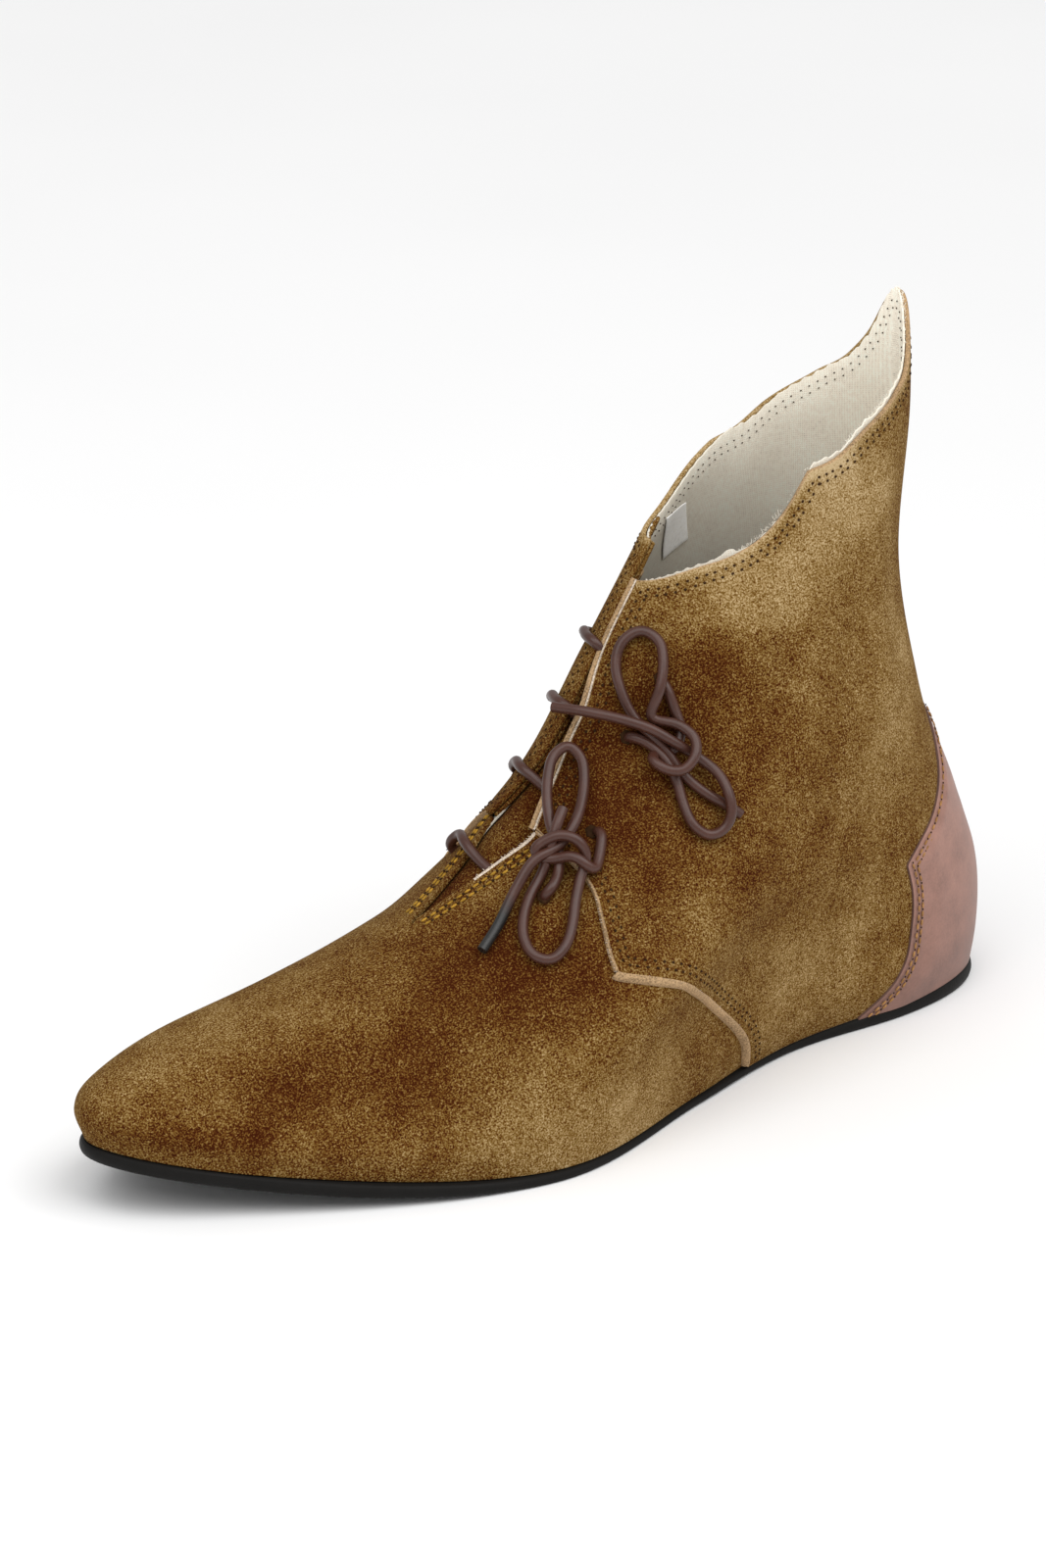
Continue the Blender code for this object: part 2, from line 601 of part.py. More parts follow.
def make_bars(finish, collection):
    """The lace bars, from the holes of the inner quarter over its edge into the slit."""
    rest = LACE_WIDTH / 2 + LACE_LIFT
    for number, hole in enumerate(HOLES, 1):
        back = hole.inner_share * math.pi
        edge = front_angle(hole.inner_level, INNER)
        route = [suede_point(back + (edge - back) * share, hole.inner_level, INNER, rest)
                 for share in (0.0, 0.32, 0.64, 0.96)]
        level = (hole.outer_level + hole.inner_level) / 2
        edge = front_angle(level, OUTER)
        past_edge = edge + rest / ring_speed(edge, level, OUTER)
        route.append(suede_point(past_edge, level, OUTER, hole.bar_end))
        make_tube(f"lace_bar_{number}", smooth_path(route), finish, collection)


def make_bow(bow, finish, collection):
    """A tied bow: its knot as one solid, and the loops, ends and strands that come out of it."""
    angle = bow.share * math.pi
    centre = offset_surface(angle, bow.level, OUTER, quarter_lift(angle) + KNOT_LIFT)
    normal = (centre - offset_surface(angle, bow.level, OUTER, 0.0)).normalized()
    turn = normal.to_track_quat("Z", "Y").to_matrix()
    mesh = bmesh.new()
    size = Matrix.Diagonal(Vector(KNOT_RADII) * MM).to_4x4()
    bmesh.ops.create_uvsphere(mesh, u_segments=KNOT_SEGMENTS, v_segments=KNOT_RINGS, radius=1.0,
                              matrix=Matrix.Translation(place(centre)) @ turn.to_4x4() @ size)
    finish_piece(f"{bow.name}_knot", mesh, finish, collection)

    keep_off = LACE_WIDTH / 2 + GAP

    def clear(point):
        local = turn.transposed() @ (point - centre)
        return sum((along / (radius + keep_off)) ** 2 for along, radius in zip(local, KNOT_RADII)) > 1

    for half, nodes in ((bow.first_half, bow.first_nodes), (bow.second_half, bow.second_nodes)):
        stretches = [list(group) for outside, group in groupby(smooth_path(half), clear) if outside]
        outer = (stretches[0], max(stretches[1:-1], key=len), stretches[-1])
        for node, stretch in zip(nodes, outer):
            make_tube(f"{bow.name}_{node}", stretch, finish, collection)


def main():
    for old in list(bpy.data.objects):
        bpy.data.objects.remove(old)
    boot = bpy.data.collections.new("suede_ankle_boot")
    bpy.context.scene.collection.children.link(boot)
    make_outsole(boot)
    make_insole(boot)
    cutters = bpy.data.collections.new("cutters")
    bpy.context.scene.collection.children.link(cutters)
    cut_lace_holes(make_upper(boot), cutters)
    make_counter(boot)
    make_tongue(boot)
    lace = material("lace_leather", (0.075, 0.035, 0.03), 0.55)
    make_bars(lace, boot)
    for bow in BOWS:
        make_bow(bow, lace, boot)


main()
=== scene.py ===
"""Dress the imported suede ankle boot: panels, lining, laces, stitches and the finish of every surface.

The tables repeat the part's own sizes, in millimetres with x from the back of the heel. The pieces are in
metres and in the part's frame: X to the toe, Y to the outer side of the left foot, Z up.
"""

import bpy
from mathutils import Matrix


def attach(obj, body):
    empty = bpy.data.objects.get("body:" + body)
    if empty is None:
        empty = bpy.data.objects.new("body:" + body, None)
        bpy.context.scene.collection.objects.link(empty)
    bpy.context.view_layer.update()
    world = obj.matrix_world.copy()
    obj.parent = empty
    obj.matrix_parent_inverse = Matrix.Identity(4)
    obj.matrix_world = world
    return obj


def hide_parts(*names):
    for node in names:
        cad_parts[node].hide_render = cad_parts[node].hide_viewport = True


bl_info = {
    "name": "Suede ankle boot",
    "version": (1, 0, 0),
    "blender": (4, 5, 0),
    "location": "View3D > Sidebar > Boot",
    "description": "Dresses the packed ankle boot with suede panels, canvas lining, laces and stitches",
    "category": "Object",
}

import math
from collections import namedtuple

import bmesh
import bpy
import numpy as np
from mathutils import Matrix, Vector

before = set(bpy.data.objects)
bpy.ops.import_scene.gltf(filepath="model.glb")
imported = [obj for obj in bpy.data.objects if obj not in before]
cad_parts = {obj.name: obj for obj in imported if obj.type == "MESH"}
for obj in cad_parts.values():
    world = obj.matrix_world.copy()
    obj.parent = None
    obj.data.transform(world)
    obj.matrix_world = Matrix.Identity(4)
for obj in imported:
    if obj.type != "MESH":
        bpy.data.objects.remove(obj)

MM = 0.001
HEEL_MIDDLE = 38.0
OUTER, INNER = 1, -1
SIDES = (OUTER, INNER)

# Sizes of the part in millimetres
LENGTH = 276.0
TOE_SPRING = 14.5
ARCH_LIFT = 0.4
LAST_HEEL = 6.3
LAST_BALL = 4.8
LAST_ARCH = 1.2
SETTLE_HEIGHT = 26.0
HEEL_FLAT_END = 72.0
BALL_FLAT_START = 140.0
BALL_FLAT_END = 175.0
GAP = 0.3
WALL = 1.5
QUARTER_STEP = 1.3
COUNTER_CLEAR = 0.65
COUNTER_THICK = 1.1
SKIVED_LIFT = 0.6
SKIVED_SHARE = 0.16
COUNTER_ROUND = 0.3
TONGUE_THICK = 1.4
TONGUE_DEPTH = 4.9
TONGUE_FOOT_DEPTH = 2.0
LACE_ROOM_SHARE = 0.5

# Sole along its length: x, thickness, and how far its edge stands out past the upper
SOLE = [(0.0, 4.3, 1.8), (25.0, 4.2, 2.6), (45.0, 3.8, 2.2), (65.0, 2.9, 1.9), (90.0, 2.0, 1.8),
        (105.0, 1.8, 1.4), (130.0, 1.8, 0.9), (160.0, 2.2, 0.8), (185.0, 2.7, 1.5), (205.0, 3.2, 2.2),
        (230.0, 3.6, 2.0), (245.0, 3.7, 1.0), (276.0, 3.7, 1.0)]

# Rings of the last from the feather line to the top of the shaft
Level = namedtuple("Level", "z_back x_back z_front x_front r_back heel shank waist ball toe r_nose")
LEVELS = [
    Level(0, 5.0, 0, 272.1, 20, 23.8, 21.8, 29.6, 44.3, 30.8, 9.5),
    Level(9, 3.5, 7, 274.0, 20, 26.3, 25.8, 31.6, 45.5, 30.9, 11.5),
    Level(19, 3.0, 14, 269.0, 20, 26.6, 27.6, 32.3, 45.5, 27.0, 13),
    Level(29, 4.5, 24, 252.0, 20, 26.4, 29.0, 33.0, 44.5, 25.0, 15),
    Level(39, 8.0, 35, 222.0, 19, 25.4, 29.6, 33.0, 42.0, 26.5, 17),
    Level(53, 13.3, 49, 186.0, 17, 24.0, 30.0, 33.0, 36.0, 28.0, 14),
    Level(80, 22.0, 77, 147.5, 12, 20.3, 27.6, 30.0, 27.5, 17.0, 9),
    Level(115, 28.0, 103, 126.0, 9, 16.0, 22.3, 24.6, 22.5, 13.0, 8),
    Level(155, 23.5, 124, 110.0, 7, 13.0, 18.0, 19.5, 18.0, 10.0, 7),
    Level(190, 24.0, 140, 99.0, 5, 11.0, 15.5, 17.0, 15.0, 8.0, 6),
]
TOP_LEVEL = len(LEVELS) - 1.0
STATIONS = (0.14, 0.29, 0.44, 0.64, 0.86)
SWING = [(0.0, 0.0), (0.15, 0.0), (0.29, 1.5), (0.44, 5.0), (0.625, 4.2), (0.70, 0.0), (0.875, -8.7),
         (1.0, -11.0)]
SWING_FULL_BELOW = 35.0
SWING_GONE_ABOVE = 95.0

# Small steps that slopes are measured over: in angle or level, and at the tongue as share of a half ring
NUDGE = 0.01
TONGUE_NUDGE = 0.02

# Collar seen from the side: x, height on the outer side, height on the inner side
COLLAR_BACK = [(20.0, 190.0, 190.0), (24.0, 186.0, 186.0), (27.5, 175.5, 175.5), (31.0, 170.0, 170.0),
               (39.0, 165.0, 165.0), (53.0, 158.5, 158.5), (62.0, 153.5, 153.5), (71.0, 151.5, 151.5)]
COLLAR_FRONT = [(71.0, 151.5, 151.5), (78.5, 142.7, 148.0), (85.0, 137.0, 145.0), (92.0, 133.2, 142.0),
                (103.0, 130.0, 137.5), (112.0, 127.4, 134.0)]

# Front slit: height, and the y of its outer and inner edge
SLIT = [(55.0, 0.6, -0.6), (58.0, 2.6, -1.0), (62.0, 5.3, -1.4), (68.0, 8.9, -2.6), (73.0, 11.2, -5.0),
        (77.0, 9.6, -3.0), (82.0, 7.6, -1.0), (91.0, 5.2, 0.6), (99.5, 4.5, 0.8), (112.0, 2.2, 0.4),
        (128.0, 1.8, 0.0), (140.0, 1.5, 0.0)]
SLIT_FOOT_LEVEL = 5.06
LIP_LEVEL = 5.72
SHAFT_LEVEL = 6.2

# Loose fibres along the outer edges: the edge, start and end as shares of it, count and length. Then their
# lift at each edge, width, lean, rise, the share of a length that a fibre's middle is moved out by, and the
# factors that lengths lie between
Fray = namedtuple("Fray", "edge start end count length")
FRAYS = [
    Fray("collar", 0.30, 0.46, 150, 1.0),
    Fray("collar", 0.62, 0.70, 80, 1.3),
    Fray("collar", 0.46, 1.00, 130, 0.6),
    Fray("collar", 0.00, 0.30, 110, 0.8),
    Fray("lip", 0.52, 1.00, 120, 0.8),
    Fray("seam", 0.25, 1.00, 260, 0.7),
    Fray("front", 0.00, 1.00, 140, 0.6),
]
FRAY_LIFT = {"collar": -0.9, "lip": -0.1, "seam": 1.2, "front": 1.2}
FRAY_WIDTH = 0.16
FRAY_LEAN = 0.7
FRAY_RISE = 0.2
FRAY_OUT = 0.4
FRAY_LENGTHS = (0.4, 1.5)
FRAY_SEED = 7

# Edges seen from the side, as height and x: the quarters' front edge and the heel counter's
QUARTER_LOW = [(4.0, 100.5), (12.0, 104.0), (25.0, 116.5), (36.0, 130.0), (42.0, 140.0), (46.0, 154.0)]
QUARTER_HIGH = [(46.0, 154.0), (51.0, 153.5), (56.0, 152.2), (64.0, 150.0), (70.0, 151.5), (74.0, 153.5)]
COUNTER_LOW = [(4.0, 59.0), (11.0, 50.0), (17.0, 45.8), (25.0, 44.0), (37.0, 44.0), (43.5, 46.0)]
COUNTER_HIGH = [(43.5, 46.0), (47.5, 41.0), (52.0, 34.6), (61.0, 26.5), (70.0, 23.0), (80.0, 20.0)]
COUNTER_TIP_LEVEL = 5.72
LIFT_FULL_AT = 0.35
TONGUE_FOOT_LEVEL = 4.55
TONGUE_TOP_LEVEL = 7.7
TONGUE_SIDE = {OUTER: 17.0, INNER: 12.0}

# Lace holes on each side, as share of the ring and level, and how far each shows beside its lace
Hole = namedtuple("Hole", "outer_share outer_level inner_share inner_level shows")
HOLES = [
    Hole(0.757, 6.80, 0.800, 7.05, 0.0),
    Hole(0.786, 6.36, 0.815, 6.50, 0.3),
    Hole(0.780, 5.70, 0.830, 5.95, 1.2),
    Hole(0.815, 5.31, 0.850, 5.42, 0.0),
]
# Dark grain at each lace hole, as length, width and height: painted shade of the hole and the shadow beside
# its lace
LACE_HOLE = (3.8, 4.18, 0.3)

# Laces: spacing of their path's points, rounds of smoothing, room under the wall, how many levels they slip
# up at the slit and more over its inner edge, in which share of the way, and their lift at the two edges
LACE_STEP = 0.6
LACE_ROUNDING = 9
LACE_CLEAR = 0.3
SLIP_RISE = 0.08
SLIP_OVER = 0.04
SLIP_SHARE = 0.5
SLIT_LIFT = {OUTER: -1.6, INNER: 0.8}

# Collar: the rise of one level there, and its rubbed edge as change of tone and width
COLLAR_RISE = 32.0
RUBBED_TONE = 0.50
RUBBED_WIDTH = 3.0

# Lining: its tufts along the outer collar, how far it stands over each collar at the back seam and how that
# changes to the front, its foot and front, and how high it lies: at the back seam, how much higher where the
# quarters stand proud, and how much more at the collar, where it is glued to the suede
Tuft = namedtuple("Tuft", "share width height")
LINING_TUFTS = [Tuft(0.735, 0.02, 2.0), Tuft(0.662, 0.005, 1.2), Tuft(0.645, 0.006, 1.6),
                Tuft(0.45, 0.012, 1.2), Tuft(0.42, 0.01, 1.4)]
LINING_SHOWS = {OUTER: (0.6, 0.0), INNER: (0.35, -0.7)}
LINING_FOOT_LEVEL = 2.0
LINING_FRONT = 0.94
LINING_LIFT = -1.35
LINING_STEP = 0.3
LINING_GLUED = 0.95
LINING_GLUED_WIDTH = 4.0
LINING_ROUND = 0.15

# Label: corners as share and level, low back, low front, high back and high front, its lift from the lining's
# outer face, thickness and rounding
LABEL_CORNERS = [(0.535, 7.41), (0.60, 7.36), (0.614, 7.92), (0.74, 8.12)]
LABEL_LIFT = -0.70
LABEL_THICK = 0.25
LABEL_ROUND = 0.08

# Facings behind the front edges: lift, how much of a level they end above the lip, and the angle behind the
# edge where their width is measured
FACING_LIFT = -0.15
FACING_INSET = 0.02
FACING_ANGLE = 0.4

# Each bow: its holes, and the two halves of its lace as x, y and z. The first half runs from the long end
# by one loop to the lower hole, the second from the upper hole by the other loop to the short end.
Bow = namedtuple("Bow", "name holes first_half second_half")
BOWS = [
    Bow("upper_bow", (HOLES[0], HOLES[1]),
        [(139.6, 1.3, 100.6), (135.3, 10.4, 100.6), (129.3, 16.8, 98.8), (124.0, 21.1, 96.2),
         (120.0, 24.1, 93.0), (114.1, 27.1, 88.1), (111.8, 31.1, 85.0), (111.9, 35.6, 80.4),
         (112.5, 37.3, 75.9), (114.4, 36.9, 72.5), (118.2, 35.8, 71.3), (121.4, 33.4, 73.9),
         (121.6, 29.6, 78.8), (121.0, 26.4, 83.7), (122.0, 23.6, 88.3), (124.2, 18.8, 92.4),
         (126.2, 16.4, 93.6)],
        [(116.4, 16.6, 105.2), (115.8, 19.6, 99.3), (115.8, 22.2, 94.2), (118.5, 23.0, 90.5),
         (123.5, 21.0, 89.8), (126.2, 23.5, 89.5), (124.3, 27.3, 87.4), (121.3, 29.0, 87.1),
         (117.4, 29.4, 90.1), (115.5, 27.1, 93.6), (117.4, 22.8, 96.6), (122.2, 18.2, 98.2),
         (120.0, 19.0, 105.2), (117.3, 17.2, 111.0), (115.8, 13.8, 115.7), (118.0, 9.8, 117.9),
         (122.4, 7.3, 115.1), (125.1, 8.2, 110.4), (126.1, 11.1, 105.0), (125.2, 14.9, 98.5),
         (121.5, 21.0, 92.0), (118.0, 27.2, 83.6), (115.0, 30.8, 80.0), (111.0, 33.7, 77.0),
         (108.0, 35.5, 74.3)]),
    Bow("lower_bow", (HOLES[2], HOLES[3]),
        [(179.8, 23.1, 53.2), (173.7, 21.7, 57.6), (166.9, 20.1, 64.7), (160.0, 20.0, 71.3),
         (154.5, 21.1, 72.9), (148.5, 20.5, 77.6), (143.5, 17.4, 82.0), (140.5, 14.5, 86.0),
         (139.1, 11.8, 90.0), (140.9, 8.6, 92.8), (144.5, 7.9, 91.1), (147.9, 9.6, 86.9),
         (150.6, 12.4, 82.2), (152.8, 16.3, 77.3), (154.0, 21.0, 71.5), (156.2, 23.4, 67.2),
         (160.4, 25.2, 64.3)],
        [(142.9, 23.9, 74.7), (144.8, 26.0, 72.4), (147.4, 28.0, 69.6), (149.6, 29.4, 68.2),
         (151.6, 28.8, 69.8), (153.1, 26.2, 71.7), (156.5, 21.5, 70.5), (158.9, 19.0, 70.8),
         (159.5, 18.2, 72.9), (157.4, 19.3, 74.7), (153.9, 22.5, 76.5), (151.1, 25.7, 74.9),
         (150.0, 26.8, 71.0), (152.8, 27.8, 66.6), (156.4, 30.3, 62.4), (160.0, 33.3, 57.3),
         (163.9, 35.2, 53.4), (168.1, 35.0, 51.2), (170.9, 32.5, 52.1), (171.0, 28.6, 55.0),
         (168.2, 24.7, 59.1), (164.0, 22.0, 62.9), (158.8, 20.5, 67.3), (155.8, 20.2, 73.5),
         (153.8, 19.8, 77.6), (150.2, 18.2, 81.2)]),
]

# The lower lace's black tip: two points on it, how far from their line it reaches, and where along it fades
BLACK_TIP = BOWS[1].first_half[:2]
BLACK_TIP_REACH = 3.5
BLACK_TIP_FADE = (10.0, 16.0)

# Soft creases: start, end, half-width and depth, with ridges as negative depths
Crease = namedtuple("Crease", "start end width depth")
CREASES = [
    Crease((62, 26, 98), (60, 22, 146), 9, 0.9),
    Crease((50, 24, 92), (46, 20, 140), 7, -0.5),
    Crease((88, 28, 98), (76, 24, 128), 7, 0.6),
    Crease((60, 31, 60), (92, 35, 72), 8, 0.7),
    Crease((52, 31, 48), (84, 36, 52), 8, -0.4),
    Crease((178, 30, 46), (176, -18, 54), 7, 0.5),
    Crease((146, 46, 24), (168, 44, 34), 7, 0.5),
    Crease((66, -30, 66), (96, -34, 74), 8, 0.7),
    Crease((60, -24, 98), (60, -21, 140), 9, 0.8),
]

# Patches of the nap: place, radius, and how much paler or darker they are. The darker patches under the two
# bows are painted shade under the lace loops
Patch = namedtuple("Patch", "x y z radius shift")
PATCHES = [
    Patch(265, -8, 34, 8, 0.18), Patch(235, 6, 38, 6, 0.14), Patch(223, -1, 43, 14, 0.06),
    Patch(270, -1, 27, 8, -0.18), Patch(258, 10, 23, 8, -0.40), Patch(244, 17, 22, 8, -0.36),
    Patch(228, 18, 28, 12, -0.22), Patch(204, 24, 36, 16, -0.22), Patch(206, 36, 20, 10, -0.14),
    Patch(224, 31, 12, 9, -0.12), Patch(217, 34, 8, 10, 0.08), Patch(179, 31, 46, 16, -0.24),
    Patch(164, 41, 45, 13, -0.22), Patch(182, 17, 54, 14, -0.20), Patch(203, 17, 44, 10, 0.06),
    Patch(200, 40, 13, 9, 0.06), Patch(170, 51, 18, 20, 0.15), Patch(153, 45, 7, 16, 0.28),
    Patch(182, 49, 10, 12, 0.18), Patch(142, 45, 21, 12, 0.12), Patch(82, 30, 22, 20, 0.26),
    Patch(113, 40, 40, 12, 0.07), Patch(70, 29, 24, 9, 0.14), Patch(125, 39, 59, 9, 0.04),
    Patch(114, 37, 66, 11, 0.06), Patch(111, 40, 58, 6, -0.16), Patch(74, 31, 35, 7, -0.14),
    Patch(70, 32, 53, 9, -0.06), Patch(68, 32, 65, 7, 0.14), Patch(76, 32, 73, 9, -0.14),
    Patch(99, 29, 87, 11, -0.26), Patch(101, 23, 102, 12, -0.20), Patch(86, 28, 95, 9, 0.10),
    Patch(127, 17, 88, 15, -0.36), Patch(135, 27, 70, 13, -0.34), Patch(123, 10, 104, 11, -0.22),
    Patch(141, 12, 84, 12, -0.28), Patch(113, 15, 106, 10, -0.14), Patch(98, 17, 122, 9, 0.22),
    Patch(82, 23, 122, 14, 0.42), Patch(60, 24, 118, 9, -0.16), Patch(59, 22, 140, 16, 0.48),
    Patch(200, 26, 36, 26, -0.07), Patch(243, 12, 30, 16, -0.06), Patch(146, 4, 76, 16, -0.22),
    Patch(160, -2, 64, 12, -0.16), Patch(110, 36, 62, 18, -0.15), Patch(68, 21, 146, 10, 0.26),
    Patch(41, 20, 97, 11, 0.20), Patch(50, 28, 75, 16, 0.26), Patch(44, 23, 104, 18, 0.14),
]
BASE_TONE = 0.47
TONE_LIMITS = (0.05, 1.0)

# How the patches' edges stray
Wave = namedtuple("Wave", "height length phase")
BROAD_STRAY = Wave(3.0, 7.3, 1.1)
FINE_STRAY = Wave(2.2, 3.1, 0.0)

# Painted shade on the tongue: darker at its foot, up to a share of its height, and towards its sides
TONGUE_SHADE_FOOT = -0.35
TONGUE_SHADE_SIDE = -0.12
TONGUE_SHADE_FROM, TONGUE_SHADE_TO = 0.18, 0.38

# Cut edges: how far out from the edge and how high over the last each line of the edge is
SEAM_PROFILE = [(-0.3, 1.32), (0.1, 1.50), (0.6, 1.45), (1.1, 1.15), (1.5, 0.65), (1.7, 0.1), (1.7, -0.2)]
TIP_PROFILE = [(-0.1, 1.32), (0.1, 1.38), (0.25, 1.15), (0.35, 0.6), (0.35, -0.2)]
FRONT_PROFILE = [(-0.15, 1.32), (0.0, 1.42), (0.2, 1.48), (0.35, 1.30), (0.40, 0.8), (0.40, 0.2)]
FACING_PROFILE = [(0.45, 0.6), (0.55, 1.15), (1.1, 1.38), (1.6, 1.32), (1.8, 0.70), (1.8, -0.4)]
LIP_PROFILE = [(-0.5, 0.02), (-0.1, 0.10), (0.3, 0.0), (0.6, -0.4), (0.7, -1.0)]

# Sole edge: share of the thickness down from the top, and how far out it stands there
SOLE_EDGE = [(0.0, -0.8), (0.06, -0.5), (0.14, -0.2), (0.26, 0.0), (0.8, 0.0), (0.92, -0.25), (1.0, -0.8)]

# Sewn rows: how much nearer to the edge they are than on the quarters, their lift over the panel, and length,
# width and height of a pinhole and of a stitch, whose length is a share of the pitch. Then the share of its
# inset that a row keeps from all edges
Sewing = namedtuple("Sewing", "nearer lift hole stitch")
SEWING = {
    "quarter": Sewing(0.0, 0.10, (0.9, 0.7, 0.3), None),
    "lining": Sewing(0.4, -0.72, (0.55, 0.4, 0.3), None),
    "lip": Sewing(0.3, 0.12, (0.75, 0.85, 0.4), (0.8, 0.75, 0.6)),
    "counter": Sewing(0.8, 0.5, (0.6, 0.6, 0.3), (0.75, 0.75, 0.5)),
}
ROW_CLEAR = 0.93

# Columns and rows of each piece's grid, and how close points are to be welded
GRIDS = {"vamp": (70, 90), "quarter": (120, 150), "facing": (12, 70), "lining": (200, 60), "label": (12, 16),
         "tongue": (24, 60), "counter": (50, 90), "sole_edge": (110, 24), "sole_face": (16, 110)}
WELD = 0.01
SOLE_WELD = 0.02

# Layers of the nap: waves per metre, detail, roughness, and how far each swings the tone
Layer = namedtuple("Layer", "scale detail roughness swing")
NAP = {
    "broad": Layer(40.0, 3.0, 0.55, 0.40),
    "mottle": Layer(120.0, 4.0, 0.6, 0.60),
    "clump": Layer(700.0, 2.0, 0.6, 0.35),
    "fibre": Layer(2300.0, 2.0, 0.6, 2.9),
}

# Cloths: threads per metre, and how bright the painted shade leaves them deep in the shaft. Leathers: grains
# per metre, roughness, specular level, and how bright the painted shade leaves them at the sole. Then the
# heights between which each brightens, as the painted shade fades out
Cloth = namedtuple("Cloth", "threads least")
CLOTHS = {"lining_canvas": Cloth(900.0, 0.57), "label_cotton": Cloth(1600.0, 1.0),
          "sock_canvas": Cloth(700.0, 0.8)}
Hide = namedtuple("Hide", "grain roughness specular least")
HIDES = {"counter_smooth": Hide(1100.0, 0.45, 0.3, 0.68), "counter_edge": Hide(1100.0, 0.6, 0.3, 1.0),
         "lace_waxed": Hide(1100.0, 0.34, 0.45, 1.0)}
SHAFT_SHADE_HEIGHTS = (112.0, 182.0)
HEEL_SHADE_HEIGHTS = (3.0, 36.0)

# Lights: place in metres, power, and the sun's spread in degrees or the panel's width in metres. Then the
# place they point at, the strength of the light all round, and the floor's size
Lamp = namedtuple("Lamp", "name kind place power spread")
LAMPS = [Lamp("soft_sun", "SUN", (-0.26, 0.86, 1.24), 1.3, 50.0),
         Lamp("toe_light", "AREA", (0.75, 0.35, 1.10), 7.0, 1.1)]
LIT_PLACE = (0.08, 0.0, 0.06)
SKY_STRENGTH = 0.58
FLOOR_SIZE = 6.0

# Camera fitted to the photograph, whose frame is 1067 by 1600 pixels
PHOTO_WIDTH, PHOTO_HEIGHT = 1067, 1600
CAMERA_TURN, CAMERA_RISE, CAMERA_ROLL = 38.4, 20.6, -0.9
CAMERA_DISTANCE = 1187.0
PIXELS_PER_MM = 4.09
TARGET = (138.0, 0.0, 60.0)
TARGET_PIXEL = (568.0, 876.0)
SENSOR = 36.0


def length(name, description, default):
    """A length property, with its default in millimetres."""
    return bpy.props.FloatProperty(name=name, description=description, default=default * MM, unit="LENGTH")


class BootSizes(bpy.types.PropertyGroup):
    """Sizes of the dressed pieces."""

    suede_thick: length("Suede", "Thickness of a suede panel", 1.25)
    facing_width: length("Facing", "Width of the suede facing behind the front edges", 13.0)
    lining_thick: length("Lining", "Thickness of the canvas lining", 0.5)
    edge_round: length("Edge rounding", "Rounding of a cut edge", 0.4)
    lace_width: length("Lace", "Diameter of the leather lace", 2.7)
    stitch_pitch: length("Stitch pitch", "Distance from one stitch to the next", 2.5)
    first_row: length("First stitch row", "Distance of the first stitch row from its edge", 2.4)
    second_row: length("Second stitch row", "Distance of the second stitch row from its edge", 4.0)


def colour(name, default):
    """A colour property with its description."""
    return bpy.props.FloatVectorProperty(
        name=name, description=f"Colour of the {name.lower()}", default=default, subtype="COLOR", size=3,
        min=0.0, max=1.0)


class BootColours(bpy.types.PropertyGroup):
    """Colours of the dressed pieces."""

    suede_dark: colour("Dark suede", (0.042, 0.008, 0.0020))
    suede_brown: colour("Brown suede", (0.102, 0.035, 0.0065))
    suede_gold: colour("Golden suede", (0.170, 0.094, 0.019))
    suede_pale: colour("Brushed suede", (0.350, 0.232, 0.100))
    suede_fibre: colour("Suede fibres", (0.520, 0.385, 0.215))
    cut_edge: colour("Cut edge", (0.400, 0.262, 0.140))
    frayed_edge: colour("Frayed edge", (0.600, 0.500, 0.400))
    counter: colour("Counter leather", (0.310, 0.165, 0.128))
    lace: colour("Lace", (0.060, 0.020, 0.012))
    lace_tip: colour("Lace tip", (0.012, 0.011, 0.010))
    canvas: colour("Canvas", (0.980, 0.895, 0.755))
    label: colour("Label", (0.970, 0.955, 0.920))
    gold_thread: colour("Gold thread", (0.400, 0.220, 0.030))
    tan_thread: colour("Tan thread", (0.380, 0.200, 0.075))
    # Also the colour of the lace holes' dark grains, which are painted shade
    stitch_hole: colour("Stitch holes", (0.040, 0.018, 0.007))
    rubber: colour("Rubber", (0.007, 0.0065, 0.006))
    scuff: colour("Scuffs", (0.140, 0.130, 0.120))
    floor: colour("Floor", (0.950, 0.950, 0.950))


def knot_slopes(x, y):
    """Slopes at the knots of smooth curves, each taken from the two neighbours."""
    step = np.diff(x)
    rise = np.diff(y, axis=-1) / step
    middle = (rise[..., :-1] * step[1:] + rise[..., 1:] * step[:-1]) / (step[:-1] + step[1:])
    return np.concatenate([rise[..., :1], middle, rise[..., -1:]], axis=-1)


def hermite(x, y, slope, at):
    """Read smooth curves between their knots."""
    at = np.clip(at, x[0], x[-1])
    k = np.clip(np.searchsorted(x, at, side="right") - 1, 0, len(x) - 2)
    span = x[k + 1] - x[k]
    u = (at - x[k]) / span

    def pick(table, index):
        if table.ndim == 1:
            return table[index]
        return np.take_along_axis(table, index[..., None], -1)[..., 0]

    ends = (1 + 2 * u) * (1 - u) ** 2 * pick(y, k) + u * u * (3 - 2 * u) * pick(y, k + 1)
    return ends + span * (u * (1 - u) ** 2 * pick(slope, k) + u * u * (u - 1) * pick(slope, k + 1))


class Curve:
    """A smooth curve through knots."""

    def __init__(self, knots):
        self.x, self.y = np.array(knots, float).T
        self.slope = knot_slopes(self.x, self.y)

    def __call__(self, at):
        return hermite(self.x, self.y, self.slope, np.asarray(at, float))


def ease(u):
    """Smooth step from 0 to 1."""
    u = np.clip(u, 0.0, 1.0)
    return u * u * (3 - 2 * u)


def solve(rises, low, high):
    """Where rising functions cross zero between two limits."""
    for _ in range(36):
        middle = (low + high) / 2
        under = rises(middle) < 0
        low = np.where(under, middle, low)
        high = np.where(under, high, middle)
    return (low + high) / 2


